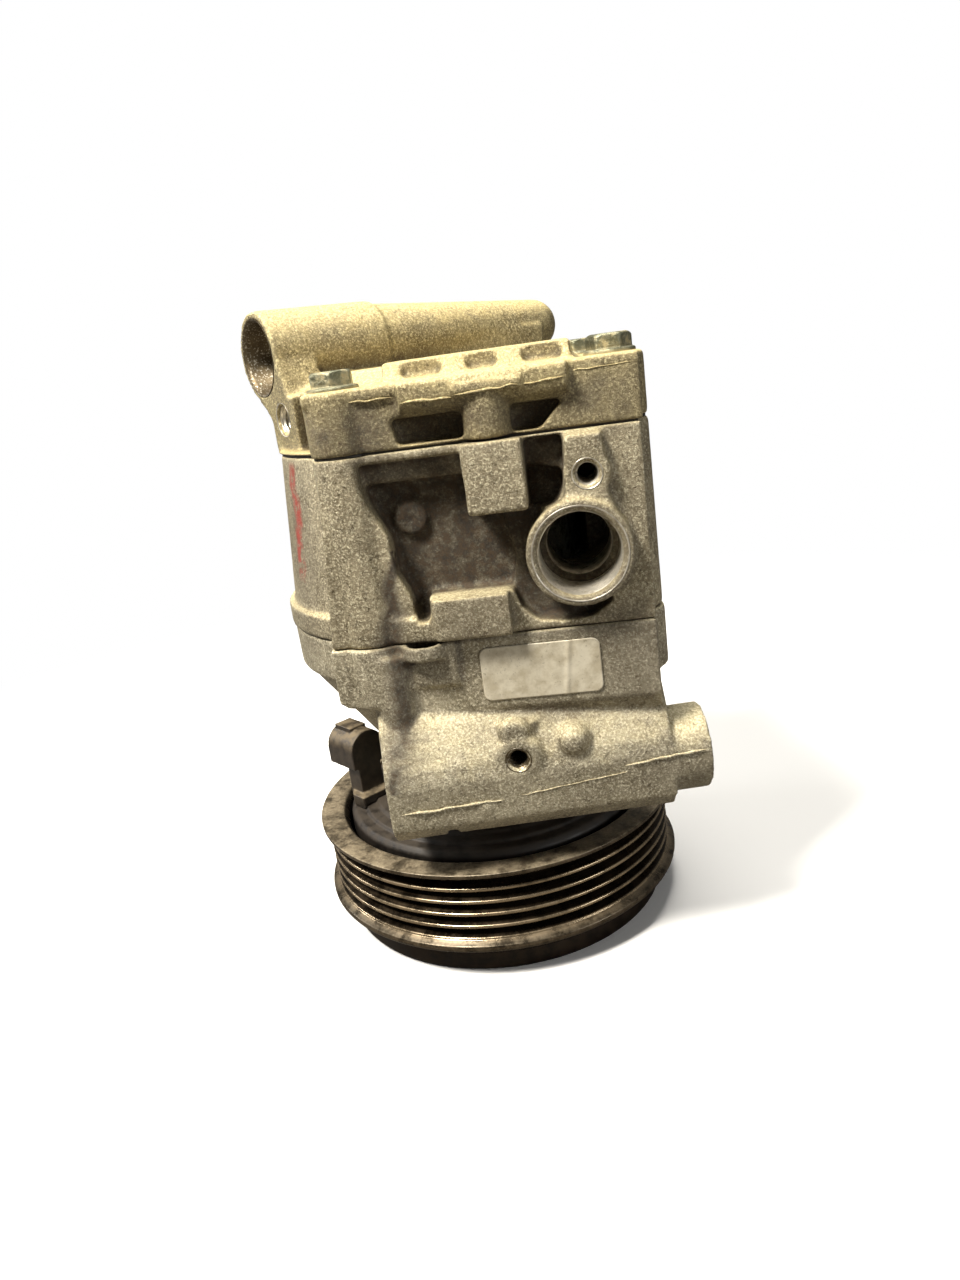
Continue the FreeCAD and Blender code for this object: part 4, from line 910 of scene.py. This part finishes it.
def pulley_outline():
    """Radii and heights from the inner rim, down the five grooves, and back up inside the coil channel."""
    high = pulley_top - 1.94
    low = high - 5 * RIB_PITCH
    points = [(43.6, pulley_top - 2.3), (45.0, pulley_top), (FLANGE_R, pulley_top), (FLANGE_R, pulley_top - 1.1)]
    radii = [0.3, 0.7, 0.45, 0.3]
    points.append((CREST_R, high))
    radii.append(0.3)
    for index in range(5):
        groove = high - RIB_PITCH * (index + 0.5)
        points += [(CREST_R, groove + 1.4), (CREST_R - GROOVE_DEPTH, groove + 0.32)]
        points += [(CREST_R - GROOVE_DEPTH, groove - 0.32), (CREST_R, groove - 1.4)]
        radii += [0.3, 0.3, 0.3, 0.3]
    points += [(CREST_R, low), (FLANGE_R, low - 1.0), (FLANGE_R, low - 2.4), (50.4, low - 3.3), (48.2, pulley_foot)]
    radii += [0.3, 0.4, 0.5, 0.5, 0.5]
    points += [(26.0, pulley_foot), (26.0, 28.0), (29.8, 28.0), (29.8, 11.6), (43.6, 11.6)]
    radii += [0.4, 0.4, 0.4, 0.6, 0.6]
    return rounded(points, radii, 5)


def turned_piece(name, outline, body, slot_name, material, node, segments=256):
    """A turned piece that stands for its CAD node."""
    points, faces = turned_surface(outline, segments)
    piece = face_out(make_piece(name, points, faces, body, slot_name, material))
    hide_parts(node)
    print(name, "faces", len(piece.data.polygons))
    return piece


turned_piece("belt_pulley", pulley_outline(), "drive_pulley", "pulley_steel", pulley_steel, "pulley", 300)
coil_outline = [
    (30.6, 12.5), (33.0, 12.5), (33.0, 28.4), (40.4, 28.4), (40.4, 12.5), (42.6, 12.5), (42.6, 31.0), (41.3, 32.5),
    (38.7, 32.6), (38.1, 33.5), (35.3, 33.6), (34.5, 34.4), (31.0, 34.4), (30.9, 36.0), (17.55, 36.0), (17.55, 33.0),
    (30.6, 33.0)]
coil_radii = [0.2] * 6 + [0.7, 0.5, 0.4, 0.4, 0.4, 0.4, 0.3, 0.3, 0.2, 0.2, 0.2]
turned_piece("coil_case", rounded(coil_outline, coil_radii, 4), "casing", "coil_steel", coil_steel, "coil_shell", 192)

# %% [markdown]
# ## Flanged bolts
# Five long bolts clamp the casings. Their heads are hexagons with a chamfered top on a thin round flange. The
# radius of a hexagon at angle a is its half width divided by cos(a'), where a' is the angle from the middle of
# the nearest flat. Cutting that radius off at a cone gives the round chamfer that a real bolt head has.

# %% Bolt heads
BOLT_PLACES = [(-18.0, -41.3), (43.5, -33.0), (38.0, 28.0), (-3.0, 46.5), (-39.5, 22.5)]
COVER_TOP = 149.5


def bolt_head(x, y, turn, half_flat=4.5, segments=96):
    """Rings of points: flange, hexagon sides, chamfer and a shallow dished top, about (x, y)."""
    angle = np.linspace(0.0, 2.0 * math.pi, segments, endpoint=False)
    sector = (angle - turn + math.pi / 6.0) % (math.pi / 3.0) - math.pi / 6.0
    hexagon = half_flat / np.cos(sector)
    round_part = [(0.01, -0.6), (5.6, -0.6), (5.85, -0.3), (5.85, 0.45), (5.7, 0.7), (5.35, 0.85)]
    levels = [np.full(segments, radius) for radius, _ in round_part]
    heights = [np.full(segments, height) for _, height in round_part]
    for height, limit in [(1.0, 5.35), (1.15, 5.25), (3.3, 5.25), (3.65, 4.95), (3.95, 4.6), (4.15, 4.2)]:
        levels.append(np.minimum(hexagon, limit))
        heights.append(np.full(segments, height))
    for radius, height in [(3.9, 4.22), (3.3, 4.18), (2.9, 3.95), (1.5, 3.9), (0.01, 3.9)]:
        levels.append(np.full(segments, radius))
        heights.append(np.full(segments, height))
    radii, z = np.array(levels), np.array(heights)
    points = np.stack([x + radii * np.cos(angle), y + radii * np.sin(angle), COVER_TOP + z], axis=-1)
    return points.reshape(-1, 3), grid_faces(len(radii), segments, False, True)


def dirty_bolt_finish():
    """Zinc plating gone grey-green, with sandy grime packed round the head."""
    material, tree, shader, in_mm = start_material("zinc_plated_flange_bolt")
    stain = add(tree, "TexNoise", {"Vector": in_mm, "Scale": 1 / 2.6, "Detail": 5.0, "Roughness": 0.7}, 0)
    fine = add(tree, "TexNoise", {"Vector": in_mm, "Scale": 1 / 0.6, "Detail": 3.0, "Roughness": 0.7}, 0)
    shut = add(tree, "MapRange",
        {
            0: add(tree, "AmbientOcclusion", {"Distance": 3 * MM}, samples=6).outputs["AO"], 1: 0.4, 2: 0.95, 3: 1,
            4: 0},
        0, **SMOOTH)
    surface = add(tree, "Mix",
        {
            0: add(tree, "MapRange", {0: stain, 1: 0.4, 2: 0.62}, 0, **SMOOTH), 6: colour("62634f"),
            7: colour("8d8b72")},
        2, data_type="RGBA")
    sand = add(tree, "Mix", {0: fine, 6: colour("7a6a48"), 7: colour("c9b884")}, 2, data_type="RGBA")
    amount = add(tree, "Math",
        {
            0: add(tree, "Math", {0: shut, 1: 0.8}, 0, operation="MULTIPLY", use_clamp=True),
            1: add(tree, "MapRange", {0: stain, 1: 0.5, 2: 0.7, 3: 0.0, 4: 0.7}, 0, **SMOOTH)},
        0, operation="ADD", use_clamp=True)
    surface = add(tree, "Mix", {0: amount, 6: surface, 7: sand}, 2, data_type="RGBA")
    tree.links.new(surface, shader.inputs["Base Color"])
    tree.links.new(
        add(tree, "Math", {0: 0.75, 1: amount}, 0, operation="SUBTRACT", use_clamp=True), shader.inputs["Metallic"])
    tree.links.new(add(tree, "Math",
            {0: 0.42, 1: add(tree, "Math", {0: amount, 1: 0.9}, 0, operation="MULTIPLY", use_clamp=True)}, 0,
            operation="MAXIMUM", use_clamp=True),
        shader.inputs["Roughness"])
    bump = add(tree, "Bump", {"Strength": 0.8, "Distance": 0.3 * MM, "Height": fine})
    tree.links.new(bump.outputs[0], shader.inputs["Normal"])
    return material


heads = join_grids([bolt_head(x, y, math.radians(8.0 + 17.0 * index)) for index, (x, y) in enumerate(BOLT_PLACES)])
bolts = face_out(make_piece("casing_bolts", *heads, "casing", "plated_steel", dirty_bolt_finish()))
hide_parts("housing_bolts")
print("bolt heads", len(bolts.data.polygons))

# %% [markdown]
# ## The rating label
# A foil label is glued to the front casing. The print on the real one is left out here. It is not flat: it has a
# crease near its right end, its corners lift, and the casting's skin shows through as small waves. So it is a
# grid of points across its width and height, and each point is pushed out by those few causes.

# %% Label


def label_grid(columns=90, rows=44, corner=1.9):
    """A rounded rectangle: corner points are drawn in to a circle, and Y is the sum of crease, lift and waves."""
    low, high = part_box("rating_label")
    u, v = np.meshgrid(np.linspace(-1, 1, columns), np.linspace(-1, 1, rows))
    half_x, half_z = (high.x - low.x) / 2 / MM, (high.z - low.z) / 2 / MM
    x, z = u * half_x, v * half_z
    over_x, over_z = np.abs(x) - (half_x - corner), np.abs(z) - (half_z - corner)
    inside = (over_x > 0) & (over_z > 0)
    reach = np.maximum(np.hypot(over_x, over_z), 1e-9)
    square = np.maximum(over_x, over_z)
    shrink = np.where(inside, square / reach, 1.0)
    x = np.where(inside, np.sign(x) * (half_x - corner + over_x * shrink), x)
    z = np.where(inside, np.sign(z) * (half_z - corner + over_z * shrink), z)
    crease = 0.22 * np.exp(-((x - 6.2 - 0.12 * z) / 0.55) ** 2)
    lift = 0.28 * np.clip(np.hypot(u, v) - 1.12, 0, 1) ** 1.5
    flat = np.stack([x.ravel(), z.ravel(), np.zeros(x.size)], axis=1)
    waves = (0.05 * lumps(flat, 3.2, 31) + 0.03 * lumps(flat, 1.3, 32)).reshape(x.shape)
    middle = (np.array(low) + np.array(high)) / 2 / MM
    y = -46.72 - crease - lift - waves
    points = np.stack([middle[0] + x, y, middle[2] + z], axis=-1)
    return points.reshape(-1, 3), grid_faces(rows, columns)


def label_finish():
    """Aged foil label: pale, slightly metallic, smeared with grey-brown dirt."""
    material, tree, shader, in_mm = start_material("foil_label")
    smear = add(tree, "TexNoise", {"Vector": in_mm, "Scale": 1 / 5.0, "Detail": 5.0, "Roughness": 0.65}, 0)
    speck = add(tree, "TexNoise", {"Vector": in_mm, "Scale": 1 / 0.8, "Detail": 3.0, "Roughness": 0.7}, 0)
    surface = add(tree, "Mix",
        {
            0: add(tree, "MapRange", {0: smear, 1: 0.36, 2: 0.66}, 0, **SMOOTH), 6: colour("d0c8b2"),
            7: colour("b0a68e")},
        2, data_type="RGBA")
    surface = add(tree, "Mix",
        {
            0: add(tree, "MapRange", {0: speck, 1: 0.6, 2: 0.72, 3: 0.0, 4: 0.55}, 0, **SMOOTH), 6: surface,
            7: colour("6b6250")},
        2, data_type="RGBA")
    tree.links.new(surface, shader.inputs["Base Color"])
    shader.inputs["Metallic"].default_value = 0.25
    tree.links.new(
        add(tree, "MapRange", {0: smear, 1: 0.3, 2: 0.7, 3: 0.38, 4: 0.6}, 0, **SMOOTH), shader.inputs["Roughness"])
    bump = add(tree, "Bump", {"Strength": 0.3, "Distance": 0.1 * MM, "Height": speck})
    tree.links.new(bump.outputs[0], shader.inputs["Normal"])
    return material


label = make_piece("foil_label", *label_grid(), "casing", "label_paper", label_finish())
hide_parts("rating_label")
backing = label.modifiers.new("thickness", "SOLIDIFY")
backing.thickness = 0.15 * MM
backing.offset = 0.0
print("label faces", len(label.data.polygons))

# %% [markdown]
# ## The coil's plug socket
# The clutch coil gets its current through a moulded nylon socket. Moulded plastic has soft corners, so its CAD
# node is cast again like the casings, in much smaller cells, and gets a satin black plastic finish.

# %% Plug socket


def nylon_finish():
    """Glass-filled nylon: near black, satin, with sandy dust on what faces up."""
    material, tree, shader, in_mm = start_material("glass_filled_nylon")
    smear = add(tree, "TexNoise", {"Vector": in_mm, "Scale": 1 / 3.0, "Detail": 4.0, "Roughness": 0.65}, 0)
    fine = add(tree, "TexNoise", {"Vector": in_mm, "Scale": 1 / 0.5, "Detail": 2.0, "Roughness": 0.7}, 0)
    upward = add(tree, "SeparateXYZ", {0: add(tree, "NewGeometry").outputs["Normal"]}).outputs[2]
    dust = add(tree, "Math",
        {
            0: add(tree, "MapRange", {0: upward, 1: 0.0, 2: 0.9}, 0, **SMOOTH),
            1: add(tree, "MapRange", {0: smear, 1: 0.35, 2: 0.62, 3: 0.15, 4: 0.75}, 0, **SMOOTH)},
        0, operation="MULTIPLY", use_clamp=True)
    surface = add(tree, "Mix",
        {
            0: add(tree, "MapRange", {0: smear, 1: 0.35, 2: 0.65}, 0, **SMOOTH), 6: colour("1c1712"),
            7: colour("2f2820")},
        2, data_type="RGBA")
    surface = add(tree, "Mix", {0: dust, 6: surface, 7: colour("7b6c52")}, 2, data_type="RGBA")
    tree.links.new(surface, shader.inputs["Base Color"])
    shader.inputs["IOR"].default_value = 1.53
    tree.links.new(
        add(
            tree, "Math", {0: 0.38, 1: add(tree, "Math", {0: dust, 1: 0.5}, 0, operation="MULTIPLY", use_clamp=True)},
            0, operation="ADD", use_clamp=True),
        shader.inputs["Roughness"])
    bump = add(tree, "Bump", {"Strength": 0.4, "Distance": 0.08 * MM, "Height": fine})
    tree.links.new(bump.outputs[0], shader.inputs["Normal"])
    return material


nylon = nylon_finish()
socket = cast_again("connector_shell", "plug_socket", 0.22, 5, rough=0.01, limit=90000)
socket.data.materials.clear()
socket.data.materials.append(nylon)
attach(socket, "casing")
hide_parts("connector_shell")

# %% [markdown]
# ## The clutch face
# The face that the compressor stands on is the clutch: a steel plate on three leaf springs, riveted to a hub.
# These parts are punched and turned, so their CAD shapes are right but for the small radius on every edge. A
# merged copy with a Bevel modifier adds that radius, which is what a punched edge looks like.

# %% Bevelled clutch parts


def bevelled(node, name, body, material, width, rounds=3):
    """A merged copy of a CAD node with every edge over 35 degrees rounded by width millimetres."""
    piece = merged_copy(node, name)
    piece.data.materials.clear()
    piece.data.materials.append(material)
    added = piece.modifiers.new("edge", "BEVEL")
    added.limit_method = "ANGLE"
    added.angle_limit = math.radians(35.0)
    added.width = width * MM
    added.segments = rounds
    added.harden_normals = True
    piece.data.shade_smooth()
    piece.data.set_sharp_from_angle(angle=math.radians(40.0))
    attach(piece, body)
    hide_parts(node)
    return piece


bevelled("armature_plate", "armature_disc", "armature", clutch_steel, 0.3)
bevelled("clutch_hub", "hub_of_the_clutch", "shaft", clutch_steel, 0.25)
bevelled("leaf_springs", "spring_straps", "shaft", spring_steel, 0.08, 2)
bevelled("hub_rivets", "inner_rivets", "shaft", plated_steel, 0.4)
bevelled("armature_rivets", "outer_rivets", "armature", plated_steel, 0.4)
bevelled("hub_bolt", "centre_bolt", "shaft", plated_steel, 0.3)
bevelled("hub_washer", "centre_washer", "shaft", plated_steel, 0.12)
bevelled("pressure_relief_valve", "relief_valve", "casing", machined_finish(
    "turned_brass", "b8935a", 0.32), 0.25)
print("clutch parts bevelled")

# %% [markdown]
# ## Everything inside
# The scrolls, bearings, seals and pins keep their CAD shapes, which are right as they are. Each takes a finish by
# its material slot, so that a view through the suction port, or of the opened part, shows real metal.

# %% Finishes by material slot
coated = {
    "machined_aluminium": machined_finish("milled_scroll_aluminium", "c4c2bb", 0.28),
    "bearing_steel": ground_steel,
    "plated_steel": plated_steel,
    "spring_steel": spring_steel,
    "clutch_steel": clutch_steel,
    "coil_steel": coil_steel,
    "pulley_steel": pulley_steel,
    "cast_aluminium": cast_middle,
    "connector_nylon": nylon,
    "terminal_brass": machined_finish("tinned_brass", "c8bd8e", 0.25),
    "brass_fitting": machined_finish("cast_brass", "ad8b55", 0.4),
    "seal_rubber": steel_finish("nitrile_rubber", "0f0e0d", "1d1b19", "4a4338", 0.0, 0.6, 0.3, False),
    "seal_plastic": steel_finish("glass_filled_cage_plastic", "5a4c38", "76664c", "8a7b60", 0.0, 0.45, 0.1, False),
    "coil_resin": steel_finish("potting_resin", "171310", "2a231c", "5f513c", 0.0, 0.55, 0.4, False),
    "gasket_sheet": steel_finish("coated_gasket_steel", "23201c", "37322b", "6d5f48", 0.3, 0.5, 0.2, False),
    "label_paper": label.data.materials[0],
}
slot_of = {part["node"]: part["material_slot"] for part in frame["record"]["subparts"]}
for node_name, node in nodes.items():
    node.data.materials.clear()
    node.data.materials.append(coated[slot_of[node_name]])
print("finished nodes", len(nodes), "kinds", len(set(slot_of.values())))

# %% [markdown]
# ## Floor and light
# The compressor stands on white paper in a white room. A soft lamp high on the left gives the main shading, and
# three weaker ones open the shadows. Paper and room are white to the camera but dimmer as light, because light
# from every side would flatten the casting's relief.

# %% Studio


def make_floor():
    """A wide sheet of white paper; far from the object it glows, so that it has no visible end."""
    mesh = bpy.data.meshes.new("floor")
    reach = 6.0
    corners = [(-reach, -reach, 0.0), (reach, -reach, 0.0), (reach, reach, 0.0), (-reach, reach, 0.0)]
    mesh.from_pydata([(x, y, -0.0001) for x, y, _ in corners], [], [(0, 1, 2, 3)])
    floor = bpy.data.objects.new("floor", mesh)
    SCENE.collection.objects.link(floor)
    material, tree, shader, in_mm = start_material("white_paper")
    away = add(tree, "VectorMath", {0: in_mm}, operation="LENGTH").outputs["Value"]
    fade = add(tree, "MapRange", {0: away, 1: 130.0, 2: 420.0}, 0, **SMOOTH)
    shader.inputs["Base Color"].default_value = colour("fbfaf7")
    shader.inputs["Roughness"].default_value = 0.9
    shader.inputs["Specular IOR Level"].default_value = 0.1
    glow = add(tree, "Emission", {"Color": colour("ffffff"), "Strength": 1.0})
    seen = add(tree, "MixShader", {0: fade, 1: shader.outputs[0], 2: glow.outputs[0]})
    dim = add(tree, "BsdfDiffuse", {"Color": colour("6a6660")})
    looked_at = add(tree, "LightPath").outputs["Is Camera Ray"]
    both = add(tree, "MixShader", {0: looked_at, 1: dim.outputs[0], 2: seen.outputs[0]})
    tree.links.new(both.outputs[0], tree.nodes["Material Output"].inputs[0])
    mesh.materials.append(material)
    return floor


def make_lamp(name, place, size, power, tint, aim=(0.0, 0.0, 0.09)):
    """A square soft lamp at a place in metres, turned to its aim."""
    lamp = bpy.data.lights.new(name, "AREA")
    lamp.size = size
    lamp.energy = power
    lamp.color = colour(tint)[:3]
    holder = bpy.data.objects.new(name, lamp)
    SCENE.collection.objects.link(holder)
    holder.location = place
    holder.rotation_mode = "QUATERNION"
    holder.rotation_quaternion = (Vector(aim) - Vector(place)).to_track_quat("-Z", "Y")
    return holder


def make_world():
    """A white room: full white where the viewer looks, dimmer as a light source."""
    world = bpy.data.worlds.new("room")
    SCENE.world = world
    world.use_nodes = True
    tree = world.node_tree
    seen = tree.nodes.new("ShaderNodeLightPath").outputs["Is Camera Ray"]
    strength = tree.nodes.new("ShaderNodeMapRange")
    strength.inputs["To Min"].default_value = 0.12
    strength.inputs["To Max"].default_value = 1.0
    tree.links.new(seen, strength.inputs["Value"])
    background = tree.nodes["Background"]
    background.inputs["Color"].default_value = (1.0, 1.0, 1.0, 1.0)
    tree.links.new(strength.outputs[0], background.inputs["Strength"])


make_floor()
make_lamp("key", (-0.34, -0.36, 0.82), 0.2, 20.0, "fffaf2")
make_lamp("fill", (0.8, -0.5, 0.3), 0.3, 2.4, "ffffff")
make_lamp("top", (0.05, 0.2, 0.85), 0.35, 6.0, "fffcf6")
make_lamp("rim", (-0.62, 0.12, 0.34), 0.12, 1.2, "ffffff", (-0.03, 0.0, 0.04))
make_world()
SCENE.view_settings.view_transform = "Standard"
